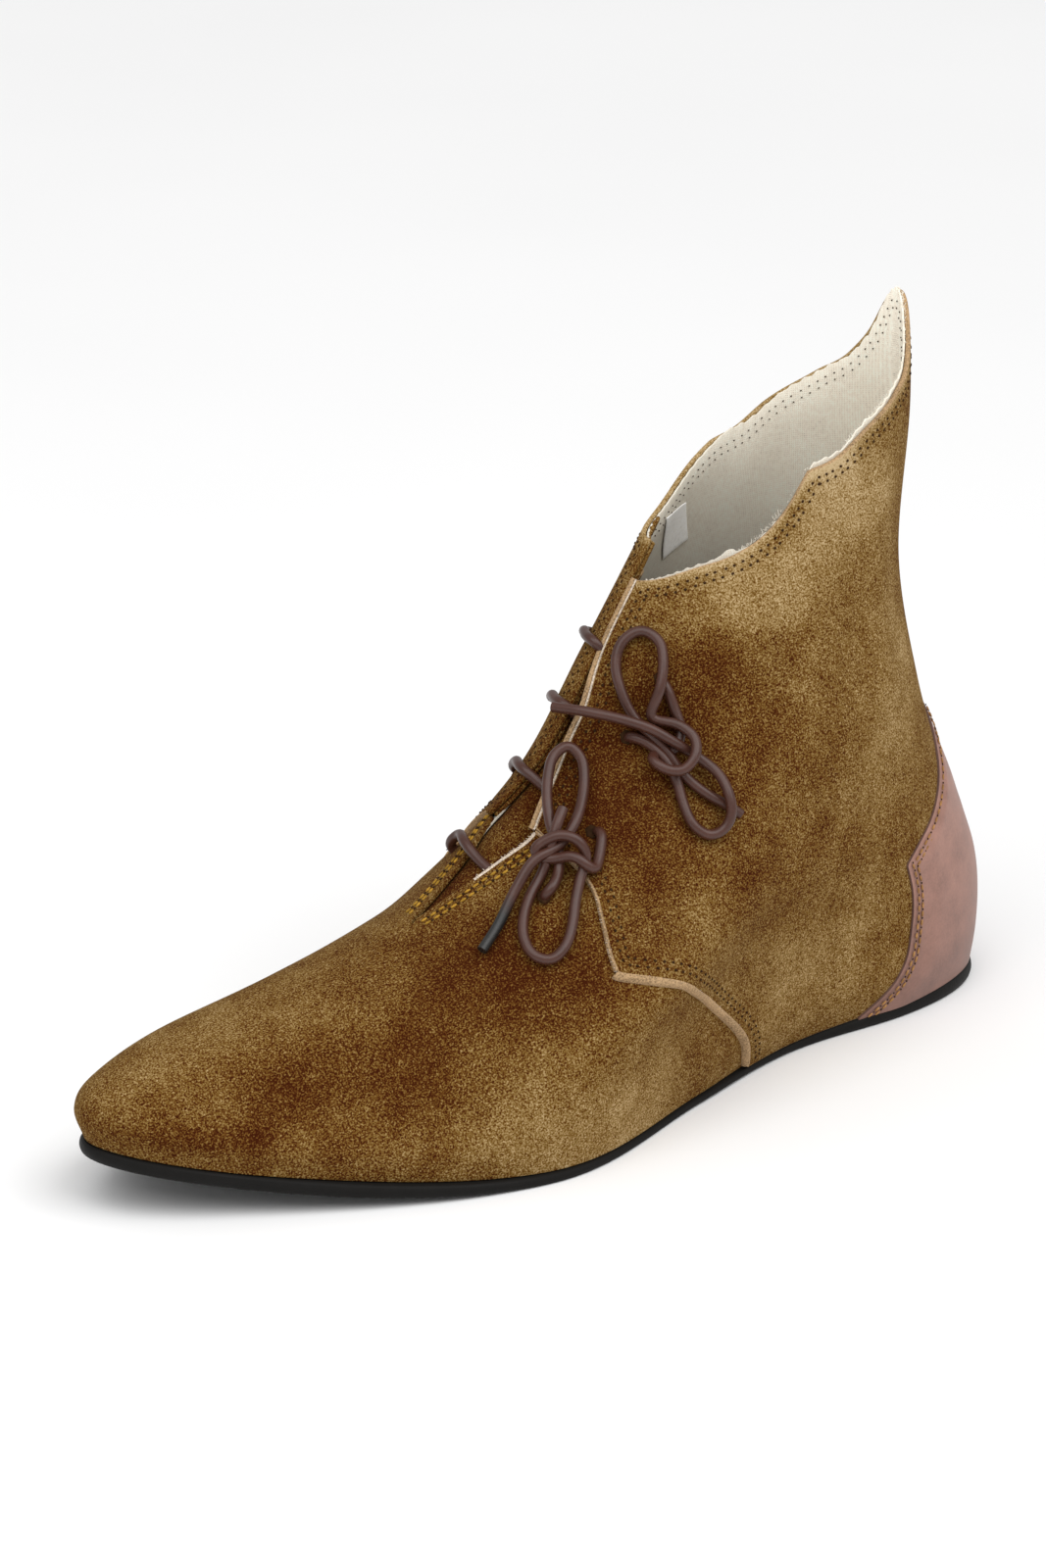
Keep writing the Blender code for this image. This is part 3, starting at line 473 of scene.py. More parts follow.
LEVEL_CURVES = [Curve(list(enumerate(column))) for column in zip(*LEVELS)]
SOLE_THICK = Curve([(row[0], row[1]) for row in SOLE])
SOLE_PROUD = Curve([(row[0], row[2]) for row in SOLE])
SWING_CURVE = Curve([(share * LENGTH, swing) for share, swing in SWING])
STATION_ANGLES = np.array([0.0] + [math.acos(1 - 2 * share) for share in STATIONS] + [math.pi])
SLIT_EDGE = {side: Curve([(row[0], row[column]) for row in SLIT]) for side, column in zip(SIDES, (1, 2))}
COLLAR = {side: (Curve([(row[0], row[column]) for row in COLLAR_BACK]),
                 Curve([(row[0], row[column]) for row in COLLAR_FRONT]))
          for side, column in zip(SIDES, (1, 2))}
QUARTER = (Curve(QUARTER_LOW), Curve(QUARTER_HIGH))
COUNTER = (Curve(COUNTER_LOW), Curve(COUNTER_HIGH))


def two_part(curves, at):
    """Read an outline made of two smooth runs that meet at a corner."""
    return np.where(at < curves[0].x[-1], curves[0](at), curves[1](at))


def spring(x, arch_lift):
    """Rise along the foot: flat at heel and ball, lifted at the arch and the toe."""
    arch = np.clip((x - HEEL_FLAT_END) / (BALL_FLAT_START - HEEL_FLAT_END), 0.0, 1.0)
    toe = np.clip((x - BALL_FLAT_END) / (LENGTH - BALL_FLAT_END), 0.0, None)
    return arch_lift * np.sin(np.pi * arch) ** 2 + TOE_SPRING * toe ** 2


def floor_clearance(x):
    """Height of the sole's underside."""
    return spring(x, ARCH_LIFT)


def sole_top(x):
    """Height of the surface that the upper stands on."""
    return floor_clearance(x) + SOLE_THICK(x)


def last_height(x, z):
    """Height of a point of the last, which settles down to the sole below."""
    heel = 1 - ease((x - HEEL_FLAT_END) / (BALL_FLAT_START - HEEL_FLAT_END))
    seat = spring(x, LAST_ARCH) + LAST_BALL + (LAST_HEEL - LAST_BALL) * heel
    return z + seat - (seat - sole_top(x) - GAP) * (1 - ease(z / SETTLE_HEIGHT))


def surface(angle, level, side):
    """Points of the last: angle 0 at the back seam, pi at the front ridge."""
    angle, level = np.broadcast_arrays(np.asarray(angle, float), np.asarray(level, float))
    row = Level(*[curve(level) for curve in LEVEL_CURVES])
    length = row.x_front - row.x_back
    share = (1 - np.cos(angle)) / 2
    widths = (row.heel, row.shank, row.waist, row.ball, row.toe)
    spread = [width / math.sin(station) for width, station in zip(widths, STATION_ANGLES[1:])]
    spread = [np.sqrt(row.r_back * length / 2)] + spread + [np.sqrt(row.r_nose * length / 2)]
    spread = np.stack(spread, axis=-1)
    fold = np.minimum(angle, 2 * np.pi - angle)
    width = hermite(STATION_ANGLES, spread, knot_slopes(STATION_ANGLES, spread), fold)
    x = row.x_back + length * share
    z = row.z_back + (row.z_front - row.z_back) * share
    swing = SWING_CURVE(x) * (1 - ease((z - SWING_FULL_BELOW) / (SWING_GONE_ABOVE - SWING_FULL_BELOW)))
    return np.stack([x, swing + side * width * np.sin(angle), last_height(x, z)], axis=-1)


def unit(vectors):
    """Vectors made one long."""
    return vectors / np.linalg.norm(vectors, axis=-1, keepdims=True)


def tangents(angle, level, side):
    """How a point of the last moves with its angle and with its level."""
    level = np.asarray(level, float)
    low = np.maximum(level - NUDGE, 0.0)
    high = np.minimum(level + NUDGE, TOP_LEVEL)
    around = (surface(angle + NUDGE, level, side) - surface(angle - NUDGE, level, side)) / (2 * NUDGE)
    upward = (surface(angle, high, side) - surface(angle, low, side)) / (high - low)[..., None]
    return around, upward


def normals(angle, level, side):
    """Outward directions on the last."""
    around, upward = tangents(angle, level, side)
    return side * unit(np.cross(upward, around))


def offset_surface(angle, level, side, offset):
    """Points at a distance from the last, along its normals."""
    offset = np.asarray(offset, float)[..., None]
    return surface(angle, level, side) + normals(angle, level, side) * offset


def slit_angle(side):
    """The angle of the slit's edge at each level above its foot."""
    levels = np.linspace(SLIT_FOOT_LEVEL, TOP_LEVEL, 66)

    def rises(angle):
        point = surface(angle, levels, side)
        return side * (SLIT_EDGE[side](point[:, 2]) - point[:, 1])

    low = np.full(levels.shape, 0.6 * math.pi)
    return Curve(list(zip(levels, solve(rises, low, np.full(levels.shape, 1.15 * math.pi)))))


def outline_angle(curves, side, last):
    """The angle at which the last meets a side-view outline, at each level."""
    levels = np.linspace(0.0, last, 191)

    def rises(angle):
        point = surface(angle, levels, side)
        return point[:, 0] - two_part(curves, point[:, 2])

    return Curve(list(zip(levels, solve(rises, np.zeros(levels.shape), np.full(levels.shape, math.pi)))))


SLIT_ANGLE = {side: slit_angle(side) for side in SIDES}
SEAM_ANGLE = {side: outline_angle(QUARTER, side, LIP_LEVEL) for side in SIDES}
COUNTER_ANGLE = {side: outline_angle(COUNTER, side, COUNTER_TIP_LEVEL) for side in SIDES}


def front_angle(level, side):
    """The angle where a ring ends in front: the ridge, or the slit's edge above its foot."""
    return np.where(level <= SLIT_FOOT_LEVEL, np.pi, SLIT_ANGLE[side](level))


def quarter_front(level, side):
    """The angle of a quarter's front edge."""
    edge = front_angle(level, side)
    return np.where(level < LIP_LEVEL, np.minimum(SEAM_ANGLE[side](level), edge), edge)


def collar_level(share, side):
    """The level at which a column of the upper reaches the collar."""
    def rises(level):
        point = surface(share * quarter_front(level, side), level, side)
        return point[..., 2] - two_part(COLLAR[side], point[..., 0])
    share = np.asarray(share, float)
    return solve(rises, np.full(share.shape, SHAFT_LEVEL), np.full(share.shape, TOP_LEVEL))


def quarter_lift(angle):
    """How far the quarters stand proud of the vamp, fading out at the back seam."""
    return QUARTER_STEP * ease(angle / (LIFT_FULL_AT * np.pi))


def dents(points):
    """How deep the soft creases are at points of the upper."""
    depth = np.zeros(points.shape[:-1])
    for crease in CREASES:
        start = np.array(crease.start, float)
        along = np.array(crease.end, float) - start
        share = (points - start) @ along / (along @ along)
        off = np.linalg.norm(points - start - np.clip(share, 0, 1)[..., None] * along, axis=-1)
        depth += crease.depth * np.exp(-(off / crease.width) ** 2)
    return depth


def suede(angle, level, side, lift):
    """Points over the creased suede."""
    return offset_surface(angle, level, side, lift - dents(surface(angle, level, side)))


def to_row(points):
    """Table points in metres, measured from the origin under the heel."""
    return (np.asarray(points, float) - (HEEL_MIDDLE, 0.0, 0.0)) * MM


def stray(points, wave):
    """How far a wave moves points."""
    return wave.height * np.sin(points / wave.length + wave.phase)


def tones(points):
    """How pale or dark the nap is brushed at table points, with painted shade under the bows."""
    tone = np.full(points.shape[:-1], BASE_TONE)
    strayed = points + stray(points[..., [2, 0, 1]], BROAD_STRAY) + stray(points, FINE_STRAY)
    for patch in PATCHES:
        off = np.linalg.norm(strayed - (patch.x, patch.y, patch.z), axis=-1)
        tone += patch.shift * np.exp(-(off / patch.radius) ** 2)
    return np.clip(tone, *TONE_LIMITS)


def fill(tree, made, inputs):
    """Set or link a node's inputs."""
    for key, value in dict(inputs).items():
        if isinstance(value, bpy.types.NodeSocket):
            tree.links.new(value, made.inputs[key])
        else:
            made.inputs[key].default_value = value


def node(tree, kind, inputs=(), **settings):
    """Add a node, set its options, and fill its inputs."""
    made = tree.nodes.new(kind)
    for name, value in settings.items():
        setattr(made, name, value)
    fill(tree, made, inputs)
    return made


def maths(tree, operation, one, two=0.0):
    """One sum of two values."""
    return node(tree, "ShaderNodeMath", {0: one, 1: two}, operation=operation).outputs[0]


def vector_maths(tree, operation, inputs, output=0):
    """One sum of vectors."""
    return node(tree, "ShaderNodeVectorMath", inputs, operation=operation).outputs[output]


def rescale(tree, value, low, high, start=0.0, end=1.0):
    """A value moved from the range of its start and end to a low and a high."""
    limits = {"Value": value, "From Min": start, "From Max": end, "To Min": low, "To Max": high}
    return node(tree, "ShaderNodeMapRange", limits).outputs[0]


def noise(tree, vector, scale, detail=2.0, roughness=0.5):
    """A noise value over a vector."""
    values = {"Vector": vector, "Scale": scale, "Detail": detail, "Roughness": roughness}
    return node(tree, "ShaderNodeTexNoise", values).outputs["Fac"]


def swing_about(tree, value, amount):
    """A noise value as a plus or minus amount."""
    centred = maths(tree, "SUBTRACT", value, 0.5)
    return maths(tree, "MULTIPLY", centred, amount)


def new_group(name, inputs, outputs):
    """A shader node group with float and vector sockets, and its two ends."""
    group = bpy.data.node_groups.new(name, "ShaderNodeTree")
    for socket, kind in inputs:
        group.interface.new_socket(socket, in_out="INPUT", socket_type=kind)
    for socket, kind in outputs:
        group.interface.new_socket(socket, in_out="OUTPUT", socket_type=kind)
    return group, group.nodes.new("NodeGroupInput"), group.nodes.new("NodeGroupOutput")


FLOAT, VECTOR = "NodeSocketFloat", "NodeSocketVector"


def nap_group():
    """Brushed nap: shifts a tone by patches, mottling and single fibres, and gives their height."""
    group, start, end = new_group("Nap", [("Vector", VECTOR), ("Tone", FLOAT), ("Fibre", FLOAT)],
                                  [("Tone", FLOAT), ("Height", FLOAT)])
    values, swings = {}, {}
    for name, layer in NAP.items():
        values[name] = noise(group, start.outputs["Vector"], layer.scale, layer.detail, layer.roughness)
        swings[name] = swing_about(group, values[name], layer.swing)
    tone = maths(group, "ADD", start.outputs["Tone"], swings["broad"])
    tone = maths(group, "ADD", tone, swings["mottle"])
    strands = maths(group, "ADD", swings["clump"], swings["fibre"])
    strands = maths(group, "MULTIPLY", strands, start.outputs["Fibre"])
    halves = [maths(group, "MULTIPLY", values[name], 0.5) for name in ("clump", "fibre")]
    fill(group, end, {"Tone": maths(group, "ADD", tone, strands), "Height": maths(group, "ADD", *halves)})
    return group


def grain_group():
    """Leather grain: fine cells with pores, and a slow change of shade."""
    group, start, end = new_group("Grain", [("Vector", VECTOR), ("Scale", FLOAT)],
                                  [("Shade", FLOAT), ("Height", FLOAT)])
    cells = node(group, "ShaderNodeTexVoronoi",
                 {"Vector": start.outputs["Vector"], "Scale": start.outputs["Scale"]},
                 feature="SMOOTH_F1").outputs["Distance"]
    slow = noise(group, start.outputs["Vector"], 120.0, 4.0, 0.6)
    fine = noise(group, start.outputs["Vector"], 1500.0, 2.0, 0.6)
    pores = maths(group, "MULTIPLY", fine, 0.3)
    shade = maths(group, "ADD", maths(group, "MULTIPLY", slow, 0.7), pores)
    fill(group, end, {"Shade": shade, "Height": maths(group, "ADD", cells, pores)})
    return group


def weave_group():
    """Plain weave: two sets of threads that pass over and under each other."""
    group, start, end = new_group("Weave", [("Vector", VECTOR), ("Threads", FLOAT)],
                                  [("Thread", FLOAT), ("Shade", FLOAT)])
    parts = node(group, "ShaderNodeSeparateXYZ", {0: start.outputs["Vector"]})
    rate = maths(group, "MULTIPLY", start.outputs["Threads"], 2 * math.pi)
    waves = [maths(group, "SINE", maths(group, "MULTIPLY", parts.outputs[axis], rate)) for axis in "XZ"]
    warp, weft = (maths(group, "ABSOLUTE", wave) for wave in waves)
    thread = maths(group, "MAXIMUM", warp, maths(group, "MULTIPLY", weft, 0.8))
    slow = noise(group, start.outputs["Vector"], 90.0, 3.0, 0.6)
    slub = noise(group, start.outputs["Vector"], 900.0, 3.0, 0.7)
    shade = maths(group, "ADD", maths(group, "MULTIPLY", slow, 0.3), maths(group, "MULTIPLY", slub, 0.7))
    fill(group, end, {"Thread": thread, "Shade": shade})
    return group


def place_group(tree, name, inputs):
    """Put a shared group into a material, built the first time it is asked for."""
    builders = {"Nap": nap_group, "Grain": grain_group, "Weave": weave_group}
    group = bpy.data.node_groups.get(name) or builders[name]()
    return node(tree, "ShaderNodeGroup", inputs, node_tree=group)


def new_material(name):
    """A node material with its shader and the object's own coordinates."""
    finish = bpy.data.materials.new(name)
    finish.use_nodes = True
    tree = finish.node_tree
    where = node(tree, "ShaderNodeTexCoord").outputs["Object"]
    return finish, tree, tree.nodes["Principled BSDF"], where


def ramp(tree, value, stops):
    """A colour from a value, through (place, colour) stops."""
    made = node(tree, "ShaderNodeValToRGB", {0: value})
    elements = made.color_ramp.elements
    while len(elements) < len(stops):
        elements.new(0.5)
    for element, (place, shade) in zip(elements, stops):
        element.position = place
        element.color = (*shade, 1.0)
    return made.outputs["Color"]


def relief(tree, shader, height, strength, distance):
    """Bump the shader's normal by a height."""
    bump = node(tree, "ShaderNodeBump", {"Height": height, "Strength": strength, "Distance": distance})
    tree.links.new(bump.outputs["Normal"], shader.inputs["Normal"])


def shaded(base, factor):
    """A colour made lighter or darker."""
    return tuple(min(channel * factor, 1.0) for channel in base)


def suede_material(name, colours):
    """Golden brown suede, paler and darker as its tone attribute says: brushed nap, and painted shade in
    places.
    """
    finish, tree, shader, where = new_material(name)
    tone = node(tree, "ShaderNodeAttribute", attribute_name="tone").outputs["Fac"]
    nap = place_group(tree, "Nap", {"Vector": where, "Tone": tone, "Fibre": 1.0})
    value = maths(tree, "MULTIPLY", nap.outputs["Tone"], 0.72)
    stops = [(0.0, colours.suede_dark), (0.20, colours.suede_brown), (0.40, colours.suede_gold),
             (0.72, colours.suede_pale), (1.0, colours.suede_fibre)]
    fill(tree, shader, {"Base Color": ramp(tree, value, stops), "Roughness": 0.95, "Specular IOR Level": 0.02,
                        "Sheen Weight": 0.03, "Sheen Roughness": 0.5, "Sheen Tint": (1.0, 0.82, 0.55, 1.0)})
    relief(tree, shader, nap.outputs["Height"], 0.5, 0.0003)
    return finish


def edge_material(name, base):
    """Raw cut edge of suede: pale fibres with darker streaks."""
    finish, tree, shader, where = new_material(name)
    nap = place_group(tree, "Nap", {"Vector": where, "Tone": 0.6, "Fibre": 0.7})
    stops = [(0.1, shaded(base, 0.35)), (0.6, base), (1.0, shaded(base, 1.4))]
    shade = ramp(tree, nap.outputs["Tone"], stops)
    fill(tree, shader, {"Base Color": shade, "Roughness": 0.95, "Specular IOR Level": 0.1})
    relief(tree, shader, nap.outputs["Height"], 0.7, 0.0003)
    return finish


def painted_shade_below(tree, shade, where, heights, least):
    """Paint shade into a colour: darker towards the floor, between two heights in millimetres."""
    height = node(tree, "ShaderNodeSeparateXYZ", {0: where}).outputs["Z"]
    factor = rescale(tree, height, least, 1.0, heights[0] * MM, heights[1] * MM)
    return vector_maths(tree, "SCALE", {0: shade, "Scale": factor})


def leather_material(name, base):
    """Smooth leather with a fine grain and a slow change of shade, with painted shade darkening it near the
    sole.
    """
    hide = HIDES[name]
    finish, tree, shader, where = new_material(name)
    grain = place_group(tree, "Grain", {"Vector": where, "Scale": hide.grain})
    stops = [(0.3, shaded(base, 0.72)), (0.5, base), (0.75, shaded(base, 1.3))]
    shade = painted_shade_below(tree, ramp(tree, grain.outputs["Shade"], stops), where, HEEL_SHADE_HEIGHTS, hide.least)
    shine = rescale(tree, grain.outputs["Shade"], hide.roughness - 0.08, hide.roughness + 0.12)
    fill(tree, shader, {"Base Color": shade, "Roughness": shine, "Specular IOR Level": hide.specular})
    relief(tree, shader, grain.outputs["Height"], 0.12, 0.0002)
    return finish


def lace_material(name, colours):
    """Dark red-brown lace, with one tip blackened."""
    finish = leather_material(name, colours.lace)
    tree = finish.node_tree
    base = tree.nodes["Principled BSDF"].inputs["Base Color"]
    where = node(tree, "ShaderNodeTexCoord").outputs["Object"]
    along = tuple(unit(np.subtract(BLACK_TIP[1], BLACK_TIP[0])))
    from_tip = vector_maths(tree, "SUBTRACT", {0: where, 1: tuple(to_row(BLACK_TIP[0]))})
    run = vector_maths(tree, "DOT_PRODUCT", {0: from_tip, 1: along}, "Value")
    line = vector_maths(tree, "SCALE", {0: along, "Scale": run})
    off = vector_maths(tree, "DISTANCE", {0: from_tip, 1: line}, "Value")
    near = maths(tree, "LESS_THAN", off, BLACK_TIP_REACH * MM)
    tip = rescale(tree, run, near, 0.0, BLACK_TIP_FADE[0] * MM, BLACK_TIP_FADE[1] * MM)
    dyed = base.links[0].from_socket
    mixed = node(tree, "ShaderNodeMixRGB", {"Fac": tip, "Color1": dyed, "Color2": (*colours.lace_tip, 1.0)})
    tree.links.new(mixed.outputs["Color"], base)
    return finish


def canvas_material(name, base):
    """Woven cotton with slubs and a few specks, with painted shade darkening it deep in the shaft."""
    cloth = CLOTHS[name]
    finish, tree, shader, where = new_material(name)
    weave = place_group(tree, "Weave", {"Vector": where, "Threads": cloth.threads})
    value = maths(tree, "ADD", maths(tree, "MULTIPLY", weave.outputs["Thread"], 0.25),
                  maths(tree, "MULTIPLY", weave.outputs["Shade"], 0.75))
    stops = [(0.30, shaded(base, 0.5)), (0.40, shaded(base, 0.86)), (0.55, base), (0.70, shaded(base, 1.15))]
    shade = painted_shade_below(tree, ramp(tree, value, stops), where, SHAFT_SHADE_HEIGHTS, cloth.least)
    fill(tree, shader, {"Base Color": shade, "Roughness": 0.9, "Specular IOR Level": 0.2})
    relief(tree, shader, weave.outputs["Thread"], 0.4, 0.0002)
    return finish


def thread_material(name, base):
    """Sewing thread with a slight change of shade from stitch to stitch."""
    finish, tree, shader, where = new_material(name)
    stops = [(0.3, shaded(base, 0.6)), (0.7, shaded(base, 1.25))]
    shade = ramp(tree, noise(tree, where, 600.0), stops)
    fill(tree, shader, {"Base Color": shade, "Roughness": 0.8, "Specular IOR Level": 0.05})
    return finish


def rubber_material(name, colours):
    """Black rubber with small pale scuffs."""
    finish, tree, shader, where = new_material(name)
    stops = [(0.0, colours.rubber), (0.74, shaded(colours.rubber, 1.5)), (0.79, colours.scuff)]
    shade = ramp(tree, noise(tree, where, 190.0, 4.0, 0.7), stops)
    gloss = rescale(tree, noise(tree, where, 60.0, 3.0), 0.35, 0.8)
    fill(tree, shader, {"Base Color": shade, "Roughness": gloss, "Specular IOR Level": 0.1})
    relief(tree, shader, noise(tree, where, 900.0, 3.0), 0.25, 0.0003)
    return finish


def kept_material(name, build, values):
    """A material, built the first time it is asked for, from a colour or from all colours."""
    return bpy.data.materials.get(name) or build(name, values)


def suede_finishes(colours):
    """The suede, its cut edge and its frayed edge."""
    return (kept_material("suede_nap", suede_material, colours),
            kept_material("suede_cut_edge", edge_material, colours.cut_edge),
            kept_material("frayed_edge", edge_material, colours.frayed_edge))


def mesh_data(name, mesh):
    """Turn a finished bmesh into mesh data."""
    data = bpy.data.meshes.new(name)
    mesh.to_mesh(data)
    mesh.free()
    return data


def add_piece(data, finishes):
    """Put a piece's mesh in the scene under its own name, riding on the boot."""
    data.shade_smooth()
    for finish in finishes:
        data.materials.append(finish)
    piece = bpy.data.objects.new(data.name, data)
    bpy.context.scene.collection.objects.link(piece)
    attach(piece, "root")
    return piece


def lay_grid(mesh, cells, shape, side, brush=None, finish=0):
    """Lay a grid of columns and rows over the boot.

    Shape gives table points from shares across and up, and brush gives a change of tone.
    """
    tone = mesh.verts.layers.float.get("tone") or mesh.verts.layers.float.new("tone")
    made = bmesh.ops.create_grid(mesh, x_segments=cells[0], y_segments=cells[1], size=0.5)
    shares = np.array([vert.co for vert in made["verts"]]) + 0.5
    points = shape(shares[:, 0], shares[:, 1])
    shades = tones(points)
    if brush:
        shades += brush(shares[:, 0], shares[:, 1])
    for vert, point, shade in zip(made["verts"], to_row(points), shades):
        vert.co = point
        vert[tone] = shade
    faces = list({face for vert in made["verts"] for face in vert.link_faces})
    for face in faces:
        face.material_index = finish
    if side == OUTER:
        bmesh.ops.reverse_faces(mesh, faces=faces)


def lay_ribbon(mesh, edge, side, outward, profile, finish):
    """Lay a ribbon along an edge: its profile gives how far out and how high each of its lines is."""
    table = np.stack([suede(*inset_path(*edge, side, out, outward), side, lift) for out, lift in profile])
    columns, rows = table.shape[0] - 1, table.shape[1] - 1

    def shape(share, rise):
        return table[np.rint(share * columns).astype(int), np.rint(rise * rows).astype(int)]

    lay_grid(mesh, (columns, rows), shape, side, finish=finish)


def weld(mesh, distance=WELD):
    """Join points that meet, such as those of a piece's two halves."""
    bmesh.ops.remove_doubles(mesh, verts=mesh.verts, dist=distance * MM)


def thicken(piece, thickness, rounding):
    """Give a panel its thickness inwards, and round its cut edges."""
    wall = piece.modifiers.new("thickness", "SOLIDIFY")
    wall.thickness = thickness
    wall.offset = -1.0
    wall.material_offset_rim = 1
    soft = piece.modifiers.new("cut_edge", "BEVEL")
    soft.width = rounding
    soft.segments = 2
    soft.profile = 0.5
    soft.limit_method = "ANGLE"
    soft.angle_limit = math.radians(55)
    soft.material = 1


def lining_lift(angle, below):
    """How high over the last the lining lies: against the suede at the collar, free of it further down."""
    full = quarter_lift(angle) / QUARTER_STEP
    glued = LINING_GLUED * np.exp(-(below / LINING_GLUED_WIDTH) ** 2)
    return full * (glued + LINING_STEP) + LINING_LIFT


def lining_edge(share, side):
    """How far the lining's ragged edge stands over the collar."""
    start, change = LINING_SHOWS[side]
    wave = 0.25 * np.sin(share * 190) + 0.2 * np.sin(share * 83 + 1) * np.sin(share * 310)
    wave += start + change * share
    for tuft in LINING_TUFTS if side == OUTER else ():
        wave += tuft.height * np.exp(-((share - tuft.share) / tuft.width) ** 2)
    return wave


def shaft_levels(share, rise, side):
    """Levels up a quarter: even rows up to the shaft, then rows that end on the collar."""
    low = 0.62
    top = collar_level(share, side)
    shaft = SHAFT_LEVEL + (top - SHAFT_LEVEL) * (rise - low) / (1 - low)
    return np.where(rise < low, SHAFT_LEVEL * rise / low, shaft)


def inset_path(angle, level, side, inset, towards):
    """Move an edge across the surface by a distance, to the side that a direction points to."""
    points = surface(angle, level, side)
    along = unit(np.gradient(points, axis=0))
    across = unit(np.cross(normals(angle, level, side), along))
    across = np.where((across @ towards < 0)[:, None], -across, across)
    around, upward = tangents(angle, level, side)
    basis = np.stack([around, upward], axis=-1)
    shift = np.einsum("nij,nj->ni", np.linalg.pinv(basis), across) * inset
    return angle + shift[:, 0], np.clip(level + shift[:, 1], 0.0, TOP_LEVEL)


def collar_edge(side):
    """The collar, from the back seam to the front corner."""
    share = np.linspace(0.0, 1.0, 260)
    level = collar_level(share, side)
    return share * quarter_front(level, side), level


def front_edge(side):
    """The front edge of a quarter beside the slit, from the lip up to the collar."""
    level = np.linspace(LIP_LEVEL, float(collar_level(1.0, side)), 200)
    return front_angle(level, side), level


def seam_edge(side):
    """The front edge of a quarter over the vamp, from the sole up to the lip."""
    level = np.linspace(0.1, LIP_LEVEL - 0.005, 260)
    return quarter_front(level, side), level


def lip_edge(side):
    """The vamp's edge beside the slit, from its foot up to the quarter."""
    level = np.linspace(SLIT_FOOT_LEVEL + 0.02, LIP_LEVEL, 120)
    return front_angle(level, side), level


def counter_edge(side):
    """The edge of the heel counter, from the sole up to its tip."""
    level = np.linspace(0.1, COUNTER_TIP_LEVEL - 0.05, 240)
    return COUNTER_ANGLE[side](level), level


def sewn_lift(panel, angle, level, side):
    """How high over the last a row of stitches lies on a panel."""
    if panel == "lip":
        return SEWING[panel].lift
    if panel == "lining":
        top = collar_level(angle / quarter_front(level, side), side)
        return lining_lift(angle, (top - level) * COLLAR_RISE) + SEWING[panel].lift
    return quarter_lift(angle) + SKIVED_LIFT * (panel == "counter") + SEWING[panel].lift


def stitch_places(panel, edge, side, inset, towards, pitch, neighbours):
    """Evenly spaced places along a row of stitches: middles, directions along, and normals."""
    row = inset_path(*edge, side, inset, towards)
    points = suede(*row, side, sewn_lift(panel, *row, side))
    outline = np.concatenate([surface(*path, side) for path in (edge, *neighbours)])
    nearest = [np.linalg.norm(outline - point, axis=1).min() for point in surface(*row, side)]
    clear = np.array(nearest) > ROW_CLEAR * inset
    points, up = points[clear], normals(*row, side)[clear]
    run = np.concatenate([[0.0], np.cumsum(np.linalg.norm(np.diff(points, axis=0), axis=1))])
    picks = np.searchsorted(run, np.arange(pitch / 2, run[-1], pitch))
    along = unit(np.gradient(points, axis=0))
    return points[picks], along[picks], up[picks]


def sew(places, size, shift=0.0):
    """Axes of a small rounded grain at each place, as (length, width, height), moved along its row."""
    points, along, up = places
    axes = np.stack([along * size[0], np.cross(up, along) * size[1], up * size[2]], axis=1)
    return points + along * shift, axes


def grains_mesh(name, batches):
    """One mesh of many copies of a small round grain, each with its own middle and axes."""
    grain = bmesh.new()
    bmesh.ops.create_uvsphere(grain, u_segments=6, v_segments=5, radius=0.5)
    grain.verts.index_update()
    shape = np.array([vert.co for vert in grain.verts])
    faces = [[vert.index for vert in face.verts] for face in grain.faces]
    grain.free()
    middles = np.concatenate([batch[0] for batch in batches])
    axes = np.concatenate([batch[1] for batch in batches])
    points = middles[:, None] + np.einsum("vk,nkj->nvj", shape, axes)
    copies = [[k * len(shape) + index for index in face] for k in range(len(middles)) for face in faces]
    data = bpy.data.meshes.new(name)
    data.from_pydata(to_row(points.reshape(-1, 3)).tolist(), [], copies)
    return data


def smooth_path(points):
    """Close points on the smooth curve through a lace's own points, with its tight turns rounded."""
    points = np.array(points, float)
    run = np.concatenate([[0.0], np.cumsum(np.linalg.norm(np.diff(points, axis=0), axis=1))])
    at = np.linspace(0.0, run[-1], int(run[-1] / LACE_STEP))
    path = np.stack([Curve(list(zip(run, points[:, k])))(at) for k in range(3)], axis=-1)
    for _ in range(LACE_ROUNDING):
        path[1:-1] = (path[:-2] + 2 * path[1:-1] + path[2:]) / 4
    return path


def crossing(hole, radius):
    """A lace's way from a hole of the outer quarter under its edge and over the inner edge to its hole."""
    under, over = -(WALL + radius + LACE_CLEAR), radius
    slip = hole.inner_level + SLIP_RISE
    edges = {side: front_angle(slip, side) for side in SIDES}

    def spot(side, hole_share, level, share, lift):
        angle = hole_share * np.pi
        angle = angle + (edges[side] - angle) * share
        return offset_surface(angle, level, side, quarter_lift(angle) * (lift > 0) + lift)

    # Shares of the way from the hole to the edge, with the lace's lift
    outer_way = ((0.0, 0.2), (-0.02, -1.7), (0.25, under), (0.75, under))
    inner_way = ((0.93, over), (0.65, over), (0.4, over), (0.2, over), (0.06, 0.7), (-0.02, under))
    route = []
    for share, lift in outer_way:
        level = hole.outer_level + (slip - hole.outer_level) * share
        route.append(spot(OUTER, hole.outer_share, level, share, lift))
    route.append(sum(offset_surface(edges[side], slip, side, SLIT_LIFT[side]) for side in SIDES) / 2)
    for share, lift in inner_way:
        level = hole.inner_level + (SLIP_RISE + SLIP_OVER) * ease(share / SLIP_SHARE)
        route.append(spot(INNER, hole.inner_share, level, share, lift))
    return [tuple(point) for point in route]


